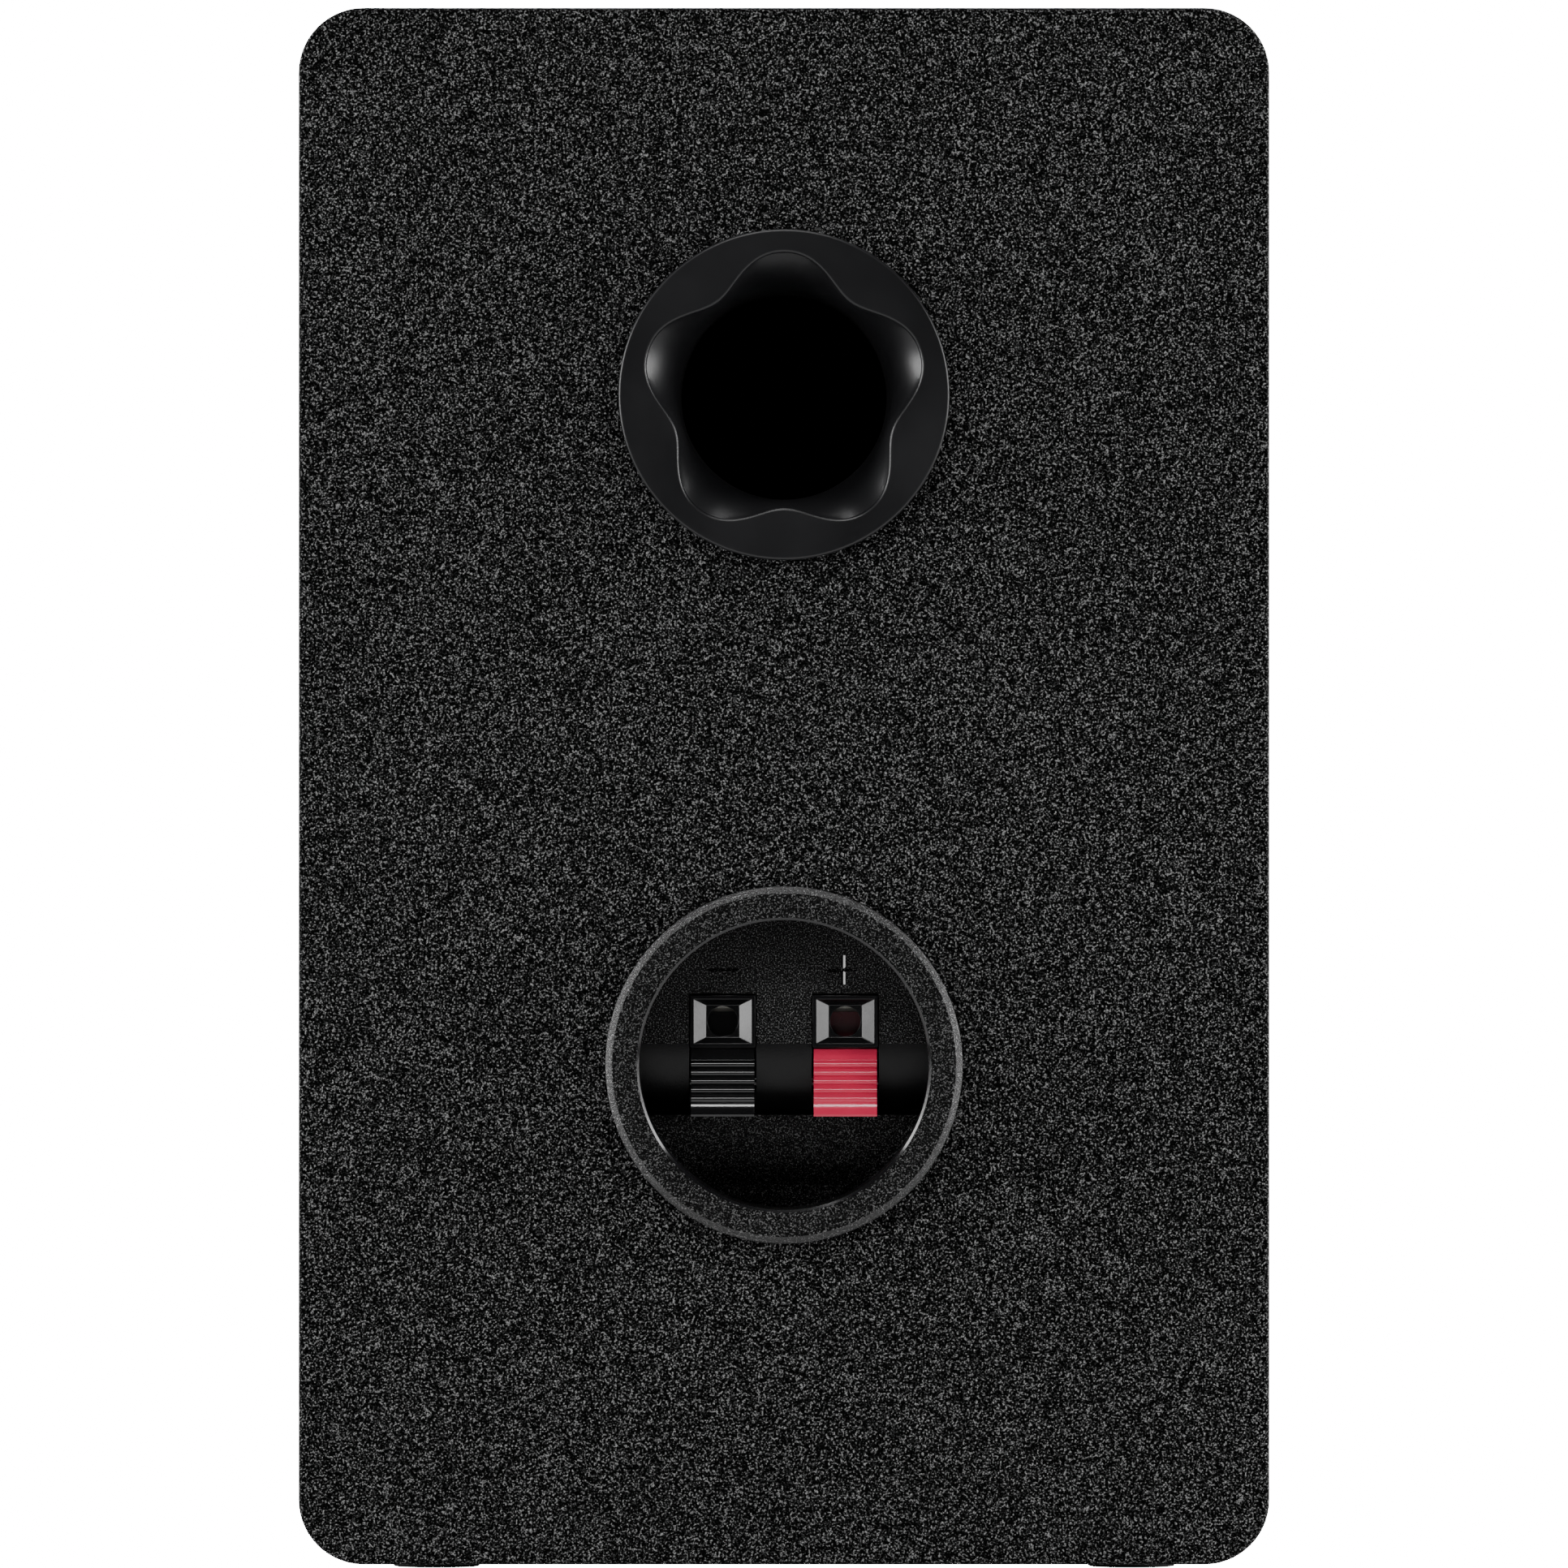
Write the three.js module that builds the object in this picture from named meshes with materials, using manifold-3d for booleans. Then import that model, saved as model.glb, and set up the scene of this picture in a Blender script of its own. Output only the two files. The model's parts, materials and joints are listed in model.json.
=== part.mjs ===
// A passive two-way bookshelf loudspeaker with a rear reflex port and spring-clip terminals.
// Millimetres, +Z up. The drivers face -Y and the rear panel faces +Y.
// The origin is on the surface that the four foot pads stand on, under the middle of the cabinet.
import * as THREE from "three";
import { mergeVertices } from "three/addons/utils/BufferGeometryUtils.js";
import Module from "manifold-3d";

const wasm = await Module();
wasm.setup();

// ---------- driving dimensions ----------
const WIDTH = 155;
const HEIGHT = 248.5; // the cabinet alone, without its foot pads
const DEPTH = 190; // front baffle face to rear panel face
const CORNER_RADIUS = 10.4; // of the four long edges
const WALL = 12;
const BAFFLE = 15;
const REAR_WALL = 12;
const FOOT_HEIGHT = 1.5;
const PROUD = 3; // how far the driver frames and the terminal cup stand off their panels
const FIT = 0.1; // glue line or slip fit between neighbouring pieces

// Facets round each turned piece. Multiples of 4 keep nested pieces' corners on the same axes.
const LARGE = 32;
const SMALL = 24;
const SCREW_FACETS = 8;

const WOOFER_Z = 84;
const TWEETER_Z = 190;
const PORT_Z = 188.2;
const CUP_Z = 81.3;

const FRONT_Y = -DEPTH / 2;
const REAR_Y = DEPTH / 2;
const BASE_Z = FOOT_HEIGHT;
const TOP_Z = BASE_Z + HEIGHT;
const INSIDE_X = WIDTH / 2 - WALL;
const FLOOR_Z = BASE_Z + WALL;

// ---------- materials ----------
const material = (color, roughness, metalness = 0) =>
  new THREE.MeshStandardMaterial({ color, roughness, metalness });

const vinyl = material(0x141415, 0.55);
const satinPlastic = material(0x1b1b1e, 0.5);
const grainedPlastic = material(0x131315, 0.6);
const glossBlack = material(0x101012, 0.2);
const glossRed = material(0xb01828, 0.25);
const boardBrown = material(0x7a6450, 0.9);
const rubber = material(0x121212, 0.7);
const feltGrey = material(0xb9b6ae, 1);
const paper = material(0x232325, 0.85);
const silk = material(0x202024, 0.8);
const frameBlack = material(0x17181a, 0.45, 0.3);
const ferrite = material(0x2b2b2e, 0.75);
const zincSteel = material(0xb9bcc0, 0.35, 1);
const blackSteel = material(0x1c1c1e, 0.35, 0.8);
const tinnedBrass = material(0xc9c6b0, 0.35, 1);
const copper = material(0xb4622a, 0.35, 1);
const formerFilm = material(0xb98a3c, 0.5);
const spiderCloth = material(0xc48f4a, 0.9);
const boardGreen = material(0x1f5a34, 0.6);
const capacitorBlue = material(0x27456f, 0.4);
const ceramicWhite = material(0xe4e0d6, 0.8);
const leadJacket = material(0x262626, 0.6);

// ---------- shape helpers ----------
const point = (x, y) => new THREE.Vector2(x, y);

// Points of a circular arc, both ends included.
function arc(centreX, centreY, radius, from, to, steps) {
  const points = [];
  for (let i = 0; i <= steps; i += 1) {
    const a = from + ((to - from) * i) / steps;
    points.push(point(centreX + radius * Math.cos(a), centreY + radius * Math.sin(a)));
  }
  return points;
}

function circle(centreX, centreY, radius, steps) {
  return arc(centreX, centreY, radius, 0, 2 * Math.PI, steps).slice(0, -1);
}

function rectangle(x0, y0, x1, y1) {
  return [point(x0, y0), point(x1, y0), point(x1, y1), point(x0, y1)];
}

// Axis maps with no rounding: a drawing's x, y and depth go to these row axes.
const DRAWN_ON_XZ = new THREE.Matrix4().makeBasis(
  new THREE.Vector3(1, 0, 0),
  new THREE.Vector3(0, 0, 1),
  new THREE.Vector3(0, -1, 0),
);
const DRAWN_ON_YZ = new THREE.Matrix4().makeBasis(
  new THREE.Vector3(0, 1, 0),
  new THREE.Vector3(0, 0, 1),
  new THREE.Vector3(1, 0, 0),
);

function extrude(outline, depth, holes = []) {
  const shape = new THREE.Shape(outline);
  for (const hole of holes) {
    shape.holes.push(new THREE.Path(hole));
  }
  return new THREE.ExtrudeGeometry(shape, { depth, bevelEnabled: false });
}

// A plate drawn in x and z that fills y0 to y1.
function plateXZ(outline, y0, y1, holes = []) {
  return extrude(outline, y1 - y0, holes).applyMatrix4(DRAWN_ON_XZ).translate(0, y1, 0);
}

// A plate drawn in y and z that fills x0 to x1.
function plateYZ(outline, x0, x1) {
  return extrude(outline, x1 - x0).applyMatrix4(DRAWN_ON_YZ).translate(x0, 0, 0);
}

// A plate drawn in x and y that fills z0 to z1.
function plateXY(outline, z0, z1, holes = []) {
  return extrude(outline, z1 - z0, holes).translate(0, 0, z0);
}

function box(x0, x1, y0, y1, z0, z1) {
  return new THREE.BoxGeometry(x1 - x0, y1 - y0, z1 - z0).translate(
    (x0 + x1) / 2,
    (y0 + y1) / 2,
    (z0 + z1) / 2,
  );
}

// A turned piece about the Y axis, from [radius, y] pairs that run anticlockwise.
function turned(profile, segments = LARGE) {
  const points = profile.map(([radius, y]) => point(radius, y));
  if (profile[0][0] > 0) {
    points.push(points[0].clone());
  }
  return new THREE.LatheGeometry(points, segments);
}

// Round bar or hole along Y.
function barY(x, z, radius, y0, y1, segments = 16) {
  return turned([[0, y0], [radius, y0], [radius, y1], [0, y1]], segments).translate(x, 0, z);
}

// Round bar or hole along X.
function barX(y, z, radius, x0, x1, segments = 16) {
  return plateYZ(circle(y, z, radius, segments), x0, x1);
}

// A closed surface through loops of equal length. It is a ring if it wraps, and has flat ends if not.
function skin(loops, wraps) {
  const count = loops[0].length;
  const index = [];
  const last = wraps ? loops.length : loops.length - 1;
  for (let i = 0; i < last; i += 1) {
    const here = i * count;
    const next = ((i + 1) % loops.length) * count;
    for (let j = 0; j < count; j += 1) {
      const k = (j + 1) % count;
      index.push(here + j, next + j, here + k);
      index.push(next + j, next + k, here + k);
    }
  }
  if (!wraps) {
    const top = (loops.length - 1) * count;
    for (let j = 1; j < count - 1; j += 1) {
      index.push(0, j, j + 1);
      index.push(top, top + j + 1, top + j);
    }
  }
  const positions = loops.flat().flatMap((v) => [v.x, v.y, v.z]);
  const geometry = new THREE.BufferGeometry();
  geometry.setAttribute("position", new THREE.Float32BufferAttribute(positions, 3));
  geometry.setIndex(index);
  return geometry;
}

// ---------- booleans ----------
function solid(geometry) {
  const bare = geometry.index ? geometry.toNonIndexed() : geometry.clone();
  bare.deleteAttribute("normal");
  bare.deleteAttribute("uv");
  const merged = mergeVertices(bare, 1e-3);
  return new wasm.Manifold(
    new wasm.Mesh({
      numProp: 3,
      vertProperties: merged.attributes.position.array,
      triVerts: new Uint32Array(merged.index.array),
    }),
  );
}

function geometryOf(body) {
  const m = body.getMesh();
  const geometry = new THREE.BufferGeometry();
  geometry.setAttribute("position", new THREE.BufferAttribute(m.vertProperties, 3));
  geometry.setIndex(new THREE.BufferAttribute(m.triVerts, 1));
  return geometry;
}

function cut(geometry, tools) {
  let body = solid(geometry);
  for (const tool of tools) {
    body = body.subtract(solid(tool));
  }
  return geometryOf(body);
}

function join(geometries) {
  return geometryOf(geometries.map(solid).reduce((whole, piece) => whole.add(piece)));
}

// ---------- assembly helpers ----------
function mesh(name, geometry, surface, position = [0, 0, 0]) {
  const made = new THREE.Mesh(geometry, surface);
  made.name = name;
  made.position.set(...position);
  return made;
}

function group(position, ...children) {
  const made = new THREE.Group();
  made.position.set(...position);
  made.add(...children);
  return made;
}

// Positions evenly spaced on a circle, as [x, z].
function boltCircle(radius, count, firstAngle) {
  return Array.from({ length: count }, (_, i) => {
    const a = firstAngle + (2 * Math.PI * i) / count;
    return [radius * Math.cos(a), radius * Math.sin(a)];
  });
}

// ---------- cabinet ----------
const CORNER_STEPS = 5; // facets on each half of a rounded corner
const FOOT_X = 56;
const FOOT_Y = 68;
const FOOT_RADIUS = 7;

// The whole cabinet's outline in x and z, anticlockwise.
function cabinetOutline() {
  const right = WIDTH / 2 - CORNER_RADIUS;
  const low = BASE_Z + CORNER_RADIUS;
  const high = TOP_Z - CORNER_RADIUS;
  const quarter = Math.PI / 2;
  const corner = (x, z, turn) =>
    arc(x, z, CORNER_RADIUS, turn * quarter, (turn + 1) * quarter, 2 * CORNER_STEPS);
  return [
    ...corner(right, high, 0),
    ...corner(-right, high, 1),
    ...corner(-right, low, 2),
    ...corner(right, low, 3),
  ];
}

// One wall of the sleeve, mitred at 45 degrees, drawn as the top wall of a box of the given half sizes.
function mitredWall(halfAcross, halfHigh) {
  const x = halfAcross - CORNER_RADIUS;
  const z = halfHigh - CORNER_RADIUS;
  const slip = point(FIT, 0);
  const eighth = Math.PI / 4;
  const rightCorner = arc(x, z, CORNER_RADIUS, eighth, 2 * eighth, CORNER_STEPS);
  const leftCorner = arc(-x, z, CORNER_RADIUS, 2 * eighth, 3 * eighth, CORNER_STEPS);
  rightCorner[0].sub(slip);
  leftCorner[CORNER_STEPS].add(slip);
  return [
    point(halfAcross - WALL - FIT, halfHigh - WALL),
    ...rightCorner,
    ...leftCorner,
    point(-halfAcross + WALL + FIT, halfHigh - WALL),
  ];
}

// The wall's drawing turned by quarter turns about the cabinet's centre line, with no rounding.
function quarterTurned(outline, turns) {
  const turn = {
    0: (p) => point(p.x, p.y),
    1: (p) => point(-p.y, p.x),
    2: (p) => point(-p.x, -p.y),
    3: (p) => point(p.y, -p.x),
  }[turns];
  return outline.map((p) => turn(p).add(point(0, BASE_Z + HEIGHT / 2)));
}

function sleeveWall(name, turns) {
  const upright = turns % 2 === 1;
  const across = upright ? HEIGHT / 2 : WIDTH / 2;
  const high = upright ? WIDTH / 2 : HEIGHT / 2;
  const outline = quarterTurned(mitredWall(across, high), turns);
  return mesh(name, plateXZ(outline, FRONT_Y + BAFFLE + FIT, REAR_Y - REAR_WALL - FIT), vinyl);
}

function footPad(name, x, y) {
  return mesh(name, plateXY(circle(x, y, FOOT_RADIUS, 20), 0, FOOT_HEIGHT - FIT / 2), rubber);
}

// ---------- drivers: fixing screws ----------
const WOOFER_BOLTS = boltCircle(51.2, 4, Math.PI / 4);
const TWEETER_BOLTS = boltCircle(32.4, 3, Math.PI / 2);
const SCREW_SHANK = 1.7;
const SCREW_HOLE = 2;
const SCREW_HEAD = 2.8;
const HEAD_HEIGHT = 1.4;

// A countersunk screw along +Y. Its flat head lies at the given depth.
function screw(name, [x, z], depth, length) {
  const profile = [
    [0, depth],
    [SCREW_HEAD, depth],
    [SCREW_HEAD, depth + 0.3],
    [SCREW_SHANK, depth + HEAD_HEIGHT],
    [SCREW_SHANK, depth + length - 2],
    [0, depth + length],
  ];
  return mesh(name, turned(profile, SCREW_FACETS), blackSteel, [x, 0, z]);
}

// The countersink that a screw head sits in, with room all round it.
function countersink([x, z], depth) {
  const profile = [
    [0, depth - 1],
    [SCREW_HEAD + 0.3, depth - 1],
    [SCREW_HEAD + 0.3, depth + 0.5],
    [SCREW_HOLE, depth + HEAD_HEIGHT + 0.4],
    [SCREW_HOLE, depth + 12],
    [0, depth + 12],
  ];
  return turned(profile, SCREW_FACETS).translate(x, 0, z);
}

// ---------- front baffle and rear panel ----------
const WOOFER_CUTOUT = 47.7;
const TWEETER_CUTOUT = 28.6;
const PORT_CUTOUT = 24.4;
const CUP_CUTOUT = 25;

function frontBaffle() {
  const boltHoles = [
    ...WOOFER_BOLTS.map(([x, z]) => circle(x, WOOFER_Z + z, SCREW_HOLE, SCREW_FACETS)),
    ...TWEETER_BOLTS.map(([x, z]) => circle(x, TWEETER_Z + z, SCREW_HOLE, SCREW_FACETS)),
  ];
  const holes = [
    circle(0, WOOFER_Z, WOOFER_CUTOUT, LARGE),
    circle(0, TWEETER_Z, TWEETER_CUTOUT, LARGE),
    ...boltHoles,
  ];
  return mesh("front_baffle", plateXZ(cabinetOutline(), FRONT_Y, FRONT_Y + BAFFLE, holes), vinyl);
}

function rearPanel() {
  const holes = [
    circle(0, PORT_Z, PORT_CUTOUT, 40),
    circle(0, CUP_Z, CUP_CUTOUT, 40),
  ];
  return mesh("rear_panel", plateXZ(cabinetOutline(), REAR_Y - REAR_WALL, REAR_Y, holes), vinyl);
}

// ---------- reflex port ----------
// In its group y is 0 on the rear panel's face and grows outwards.
const PORT_FLANGE_RADIUS = 26.4;
const PORT_FLANGE_HEIGHT = 2;
const LOBES = 5;
const LOBE_TIP = 22.6;
const LOBE_VALLEY = 18;
const THROAT = 16.5;
const FLARE_DEPTH = 16;
const FLARE_POWER = 3.2; // how quickly the flare steepens towards the throat
const NECK_END = -28;
const TUBE_START = -14;
const TUBE_END = -105;
const TUBE_WALL = 1.5;
const PORT_WALL = 1.5;

// Radius of the five-lobed mouth, with one lobe pointing up. Angle 0 is along +X, towards +Z.
function mouthRadius(angle) {
  const dip = (1 - Math.cos(LOBES * (angle - Math.PI / 2))) / 2;
  return LOBE_TIP - (LOBE_TIP - LOBE_VALLEY) * dip ** 1.15;
}

function portFlare() {
  const stepsRound = 10 * LOBES;
  const flareShares = [0, 0.12, 0.28, 0.5, 1];
  const lip = 0.6;
  const loops = [];
  for (let i = 0; i < stepsRound; i += 1) {
    const angle = (2 * Math.PI * i) / stepsRound;
    const mouth = mouthRadius(angle);
    const outside = [
      [THROAT, NECK_END],
      [THROAT + PORT_WALL, NECK_END],
      [THROAT + PORT_WALL, TUBE_START + 1],
      [PORT_CUTOUT - 0.4, TUBE_START + 6],
      [PORT_CUTOUT - 0.4, FIT],
      [PORT_FLANGE_RADIUS, FIT],
      [PORT_FLANGE_RADIUS, PORT_FLANGE_HEIGHT - 0.4],
      [PORT_FLANGE_RADIUS - 0.4, PORT_FLANGE_HEIGHT],
    ];
    const inside = flareShares.map((t) => [
      THROAT + (mouth - THROAT) * (1 - t) ** FLARE_POWER,
      PORT_FLANGE_HEIGHT - lip - FLARE_DEPTH * t,
    ]);
    inside.unshift([mouth + lip, PORT_FLANGE_HEIGHT]);
    loops.push(
      [...outside, ...inside]
        .map(([r, y]) => new THREE.Vector3(r * Math.cos(angle), y, r * Math.sin(angle)))
        .reverse(),
    );
  }
  return mesh("port_flare", skin(loops, true), satinPlastic);
}

function portTube() {
  const bore = THROAT + PORT_WALL + 0.3;
  const profile = [
    [bore, TUBE_END],
    [bore + TUBE_WALL, TUBE_END],
    [bore + TUBE_WALL, TUBE_START],
    [bore, TUBE_START],
  ];
  return mesh("port_tube", turned(profile, SMALL), satinPlastic);
}

// ---------- spring-clip terminals ----------
// In their group y is 0 on the rear panel's face and grows outwards, and z is 0 on the cup's centre.
const CUP_FLANGE = 28.5;
const CUP_BORE = 23.1;
const CUP_BODY = 24.7;
const CUP_BACK = -17;
const FACE_Y = -5; // the upper face, which the wire entries stand in
const FACE_EDGE_Z = 3.3;
const STEP_DEPTH = 7.6; // how far the curved step behind the levers falls back from the upper face
const STEP_HEIGHT = 10.9;
const CLIP_X = 9.8; // centre of each clip from the cup's centre line
const SLOT_HALF = 5.35;
const SLOT_LOW = -7.9;
const SLOT_HIGH = 11.3;
const PIVOT_Y = -14.2; // the lever turns about its back, so pressing the tab lowers its arm
const PIVOT_Z = -3;
const PIVOT_RADIUS = 1.1;
const SPRING_RADIUS = 1.75;
const SPRING_ROOM = 2.7;
const ENTRY_Z = 6.85; // the wire hole's centre
const ENTRY_HOLE = 2.43;
const LEVER_HALF = 5.05;

// The cup's hollow in side view: an upper face, a curved step behind the levers, and a lower face.
function cupHollow() {
  const front = PROUD + 1;
  const beyond = CUP_BORE + 2;
  const step = [0, 1, 2, 3, 4].map((i) => {
    const a = (i * Math.PI) / 8;
    return point(FACE_Y - STEP_DEPTH * (1 - Math.cos(a)), FACE_EDGE_Z - STEP_HEIGHT * Math.sin(a));
  });
  const side = [
    point(front, beyond),
    point(FACE_Y, beyond),
    ...step,
    point(-11.5, -8.2),
    point(-11.9, -12),
    point(-13, -16),
    point(-14.8, -19.5),
    point(-15.4, -beyond),
    point(front, -beyond),
  ];
  const bore = [[0, -16], [CUP_BORE, -16], [CUP_BORE, front], [0, front]];
  const profile = solid(plateYZ(side, -beyond, beyond));
  return geometryOf(profile.intersect(solid(turned(bore, 48))));
}

function terminalCup() {
  const outside = [
    [0, CUP_BACK],
    [CUP_BODY, CUP_BACK],
    [CUP_BODY, FIT],
    [CUP_FLANGE, FIT],
    [CUP_FLANGE, PROUD - 0.9],
    [CUP_FLANGE - 0.9, PROUD],
    [0, PROUD],
  ];
  const tools = [cupHollow()];
  for (const side of [-1, 1]) {
    const x = side * CLIP_X;
    const hinge = PIVOT_RADIUS + 0.3;
    const reach = SLOT_HALF + 0.9;
    tools.push(
      box(x - SLOT_HALF, x + SLOT_HALF, CUP_BACK - 1, PROUD - 1, SLOT_LOW, SLOT_HIGH),
      barX(PIVOT_Y, PIVOT_Z, hinge, x - reach, x + reach),
      box(x - reach, x + reach, CUP_BACK - 1, PIVOT_Y, PIVOT_Z - 1.3, PIVOT_Z + 1.3),
    );
  }
  return mesh("terminal_cup", cut(turned(outside, 48), tools), grainedPlastic);
}

// The square funnel that leads a bared wire into its hole.
function wireEntry(name, x) {
  const face = FACE_Y + 0.6;
  const back = FACE_Y - 1.8;
  const mouthX = 4.65;
  const mouthZ = 3.5;
  const insetX = 1.9;
  const insetZ = 0.8;
  const depth = 2;
  const loop = (halfX, halfZ, y) =>
    [[-1, -1], [1, -1], [1, 1], [-1, 1]].map(
      ([a, b]) => new THREE.Vector3(a * halfX, y, ENTRY_Z + b * halfZ),
    );
  const over = 0.25; // the cutter starts this fraction of its depth outside the face
  const funnel = skin(
    [
      loop(mouthX - insetX, mouthZ - insetZ, face - depth),
      loop(mouthX + insetX * over, mouthZ + insetZ * over, face + depth * over),
    ],
    false,
  );
  const block = box(-SLOT_HALF + 0.15, SLOT_HALF - 0.15, back, face, 2.7, 11);
  const hole = barY(0, ENTRY_Z, ENTRY_HOLE, back - 1, face - 1, 16);
  return mesh(name, cut(block, [funnel, hole]), glossBlack, [x, 0, 0]);
}

// Side view of a lever: a ridged finger tab in front, a hub at the back, and an arm behind the hole.
function leverSide() {
  const ridges = [];
  const ridgeCount = 6;
  for (let i = 0; i <= 2 * ridgeCount; i += 1) {
    const t = i / (2 * ridgeCount);
    const ridge = i % 2 === 0 ? 0 : 0.3;
    ridges.push(point(-4.9 + 3.2 * t ** 2.4 - ridge, 2.4 - 8.8 * t));
  }
  const body = [
    point(-1.7, -8.3),
    point(-3.2, -8.3),
    point(-6.2, -7),
    point(-12.5, -6.4),
    point(-15.6, -5.2),
    point(-16.3, -3),
    point(-15.6, -1),
    point(-13, -0.6),
    point(-10.4, 1.2),
    point(-10.4, 8.35),
    point(-9, 8.35),
    point(-9, 2.2),
    point(-7.5, 2.4),
  ];
  return [...ridges, ...body].reverse();
}

function clipLever(name, x, surface) {
  const tab = plateYZ(leverSide(), -LEVER_HALF, LEVER_HALF);
  const springRoom = barX(PIVOT_Y, PIVOT_Z, SPRING_ROOM, -2.8, 2.8);
  const trunnions = barX(PIVOT_Y, PIVOT_Z, PIVOT_RADIUS, -LEVER_HALF - 0.9, LEVER_HALF + 0.9);
  return mesh(name, join([cut(tab, [springRoom]), trunnions]), surface, [x, 0, 0]);
}

class Helix extends THREE.Curve {
  constructor(radius, turns, halfLength) {
    super();
    Object.assign(this, { radius, turns, halfLength });
  }

  getPoint(t, target = new THREE.Vector3()) {
    const a = 2 * Math.PI * this.turns * t;
    return target.set(
      this.halfLength * (2 * t - 1),
      this.radius * Math.cos(a),
      this.radius * Math.sin(a),
    );
  }
}

// The torsion spring round a lever's pivot.
function clipSpring(name, x) {
  const turns = 4;
  const helix = new Helix(SPRING_RADIUS, turns, 2.1);
  const wire = new THREE.Shape(circle(0, 0, 0.28, 5));
  const settings = { steps: turns * 10, extrudePath: helix, bevelEnabled: false };
  const coil = new THREE.ExtrudeGeometry(wire, settings);
  return mesh(name, coil, zincSteel, [x, PIVOT_Y, PIVOT_Z]);
}

// A flat contact behind the wire hole, with its solder tab through the back cover.
function clipContact(name, x) {
  const side = [
    point(-11.4, 1.9),
    point(-11.4, 10.6),
    point(-11.9, 10.6),
    point(-11.9, 5.2),
    point(-22, 5.2),
    point(-22, 4.6),
    point(-11.9, 4.6),
    point(-11.9, 1.9),
  ];
  return mesh(name, plateYZ(side, -2.5, 2.5), tinnedBrass, [x, 0, 0]);
}

function terminalBackCover() {
  const back = CUP_BACK - 1.6;
  const slots = [-CLIP_X, CLIP_X].map((x) => box(x - 3, x + 3, back - 1, CUP_BACK, 4.1, 5.7));
  const disc = plateXZ(circle(0, 0, CUP_BODY - 0.1, LARGE), back, CUP_BACK - FIT);
  return mesh("terminal_back_cover", cut(disc, slots), satinPlastic);
}

// ---------- woofer ----------
// In its group y is 0 on the baffle's face and grows into the cabinet.
const COIL_BORE = 12.45;
const CONE_RIM = 34.4;

function wooferBasket() {
  const profile = [
    [46.2, -PROUD],
    [54.4, -PROUD],
    [55, -2.4],
    [55, -0.85],
    [47.3, -0.85],
    [47.3, 3.2],
    [43.6, 6],
    [38.6, 24],
    [38.6, 29.6],
    [34.6, 33.9],
    [16, 33.9],
    [16, 32.3],
    [33.2, 32.3],
    [33.2, 27.9],
    [36.9, 27.9],
    [36.9, 24],
    [42.4, 6.2],
    [42.4, 1.6],
    [46.2, 1.6],
  ];
  const windows = boltCircle(1, 6, Math.PI / 6).map(([x, z]) =>
    box(-12.5, 12.5, 9, 21.5, 30, 50).rotateY(Math.atan2(x, z)),
  );
  const bolts = WOOFER_BOLTS.map((at) => countersink(at, -PROUD + 0.4));
  return mesh("woofer_basket", cut(turned(profile), [...windows, ...bolts]), frameBlack);
}

function wooferGasket() {
  const ring = circle(0, 0, 54.6, LARGE);
  const holes = [
    circle(0, 0, 47.8, LARGE),
    ...WOOFER_BOLTS.map(([x, z]) => circle(x, z, SCREW_HOLE, SCREW_FACETS)),
  ];
  return mesh("woofer_gasket", plateXZ(ring, -0.8, -0.05, holes), rubber);
}

// A half-roll between the basket's ledge and the cone's rim.
function wooferSurround() {
  const middle = 38.6;
  const roll = 3.8;
  const lip = 1.5;
  const wall = 0.8;
  const bow = (radius) =>
    arc(middle, lip - wall / 2, radius, Math.PI, 2 * Math.PI, 5).map((p) => [p.x, p.y]);
  const profile = [
    ...bow(roll + wall / 2).slice(0, -1),
    [middle + roll + wall / 2, lip - wall],
    [46, lip - wall],
    [46, lip],
    [middle + roll - wall / 2, lip],
    ...bow(roll - wall / 2).reverse().slice(1),
  ];
  return mesh("woofer_surround", turned(profile), rubber);
}

// Depth of the cone's front surface at a radius.
function coneDepth(radius) {
  const outer = 31.5;
  const inner = 12.95;
  return 2 + 16.6 * ((outer - radius) / (outer - inner)) ** 1.2;
}

function wooferCone() {
  const radii = [31.5, 25, 18.5, 12.95];
  const wall = 0.9;
  const front = radii.map((r) => [r, coneDepth(r)]);
  const back = radii.map((r) => [r + 0.25, coneDepth(r) + wall]);
  const profile = [
    [CONE_RIM, front[0][1] - 0.9],
    [CONE_RIM, front[0][1] + 0.1],
    ...back,
    ...front.reverse(),
    [31.3, front[front.length - 1][1] - 0.9],
  ];
  return mesh("woofer_cone", turned(profile), paper);
}

// A thin spherical cap that bulges towards -Y from its base circle.
function domedShell(baseRadius, baseY, rise, wall) {
  const sphere = (baseRadius ** 2 + rise ** 2) / (2 * rise);
  const reach = Math.asin(baseRadius / sphere);
  const steps = 4;
  const bow = (radius) =>
    Array.from({ length: steps + 1 }, (_, i) => {
      const a = (reach * i) / steps;
      return [radius * Math.sin(a), baseY - rise + sphere - radius * Math.cos(a)];
    });
  return turned([...bow(sphere), ...bow(sphere - wall).reverse()], SMALL);
}

function dustCap() {
  const baseRadius = 16.6;
  const shell = domedShell(baseRadius, coneDepth(baseRadius) - 1.1, 6.2, 0.7);
  return mesh("dust_cap", shell, paper);
}

function wooferVoiceCoil() {
  const former = [
    [COIL_BORE, 16.2],
    [COIL_BORE + 0.4, 16.2],
    [COIL_BORE + 0.4, 43],
    [COIL_BORE, 43],
  ];
  const winding = [
    [COIL_BORE + 0.45, 31],
    [COIL_BORE + 1.1, 31],
    [COIL_BORE + 1.1, 42],
    [COIL_BORE + 0.45, 42],
  ];
  return [
    mesh("voice_coil_former", turned(former, SMALL), formerFilm),
    mesh("voice_coil_winding", turned(winding, SMALL), copper),
  ];
}

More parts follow.
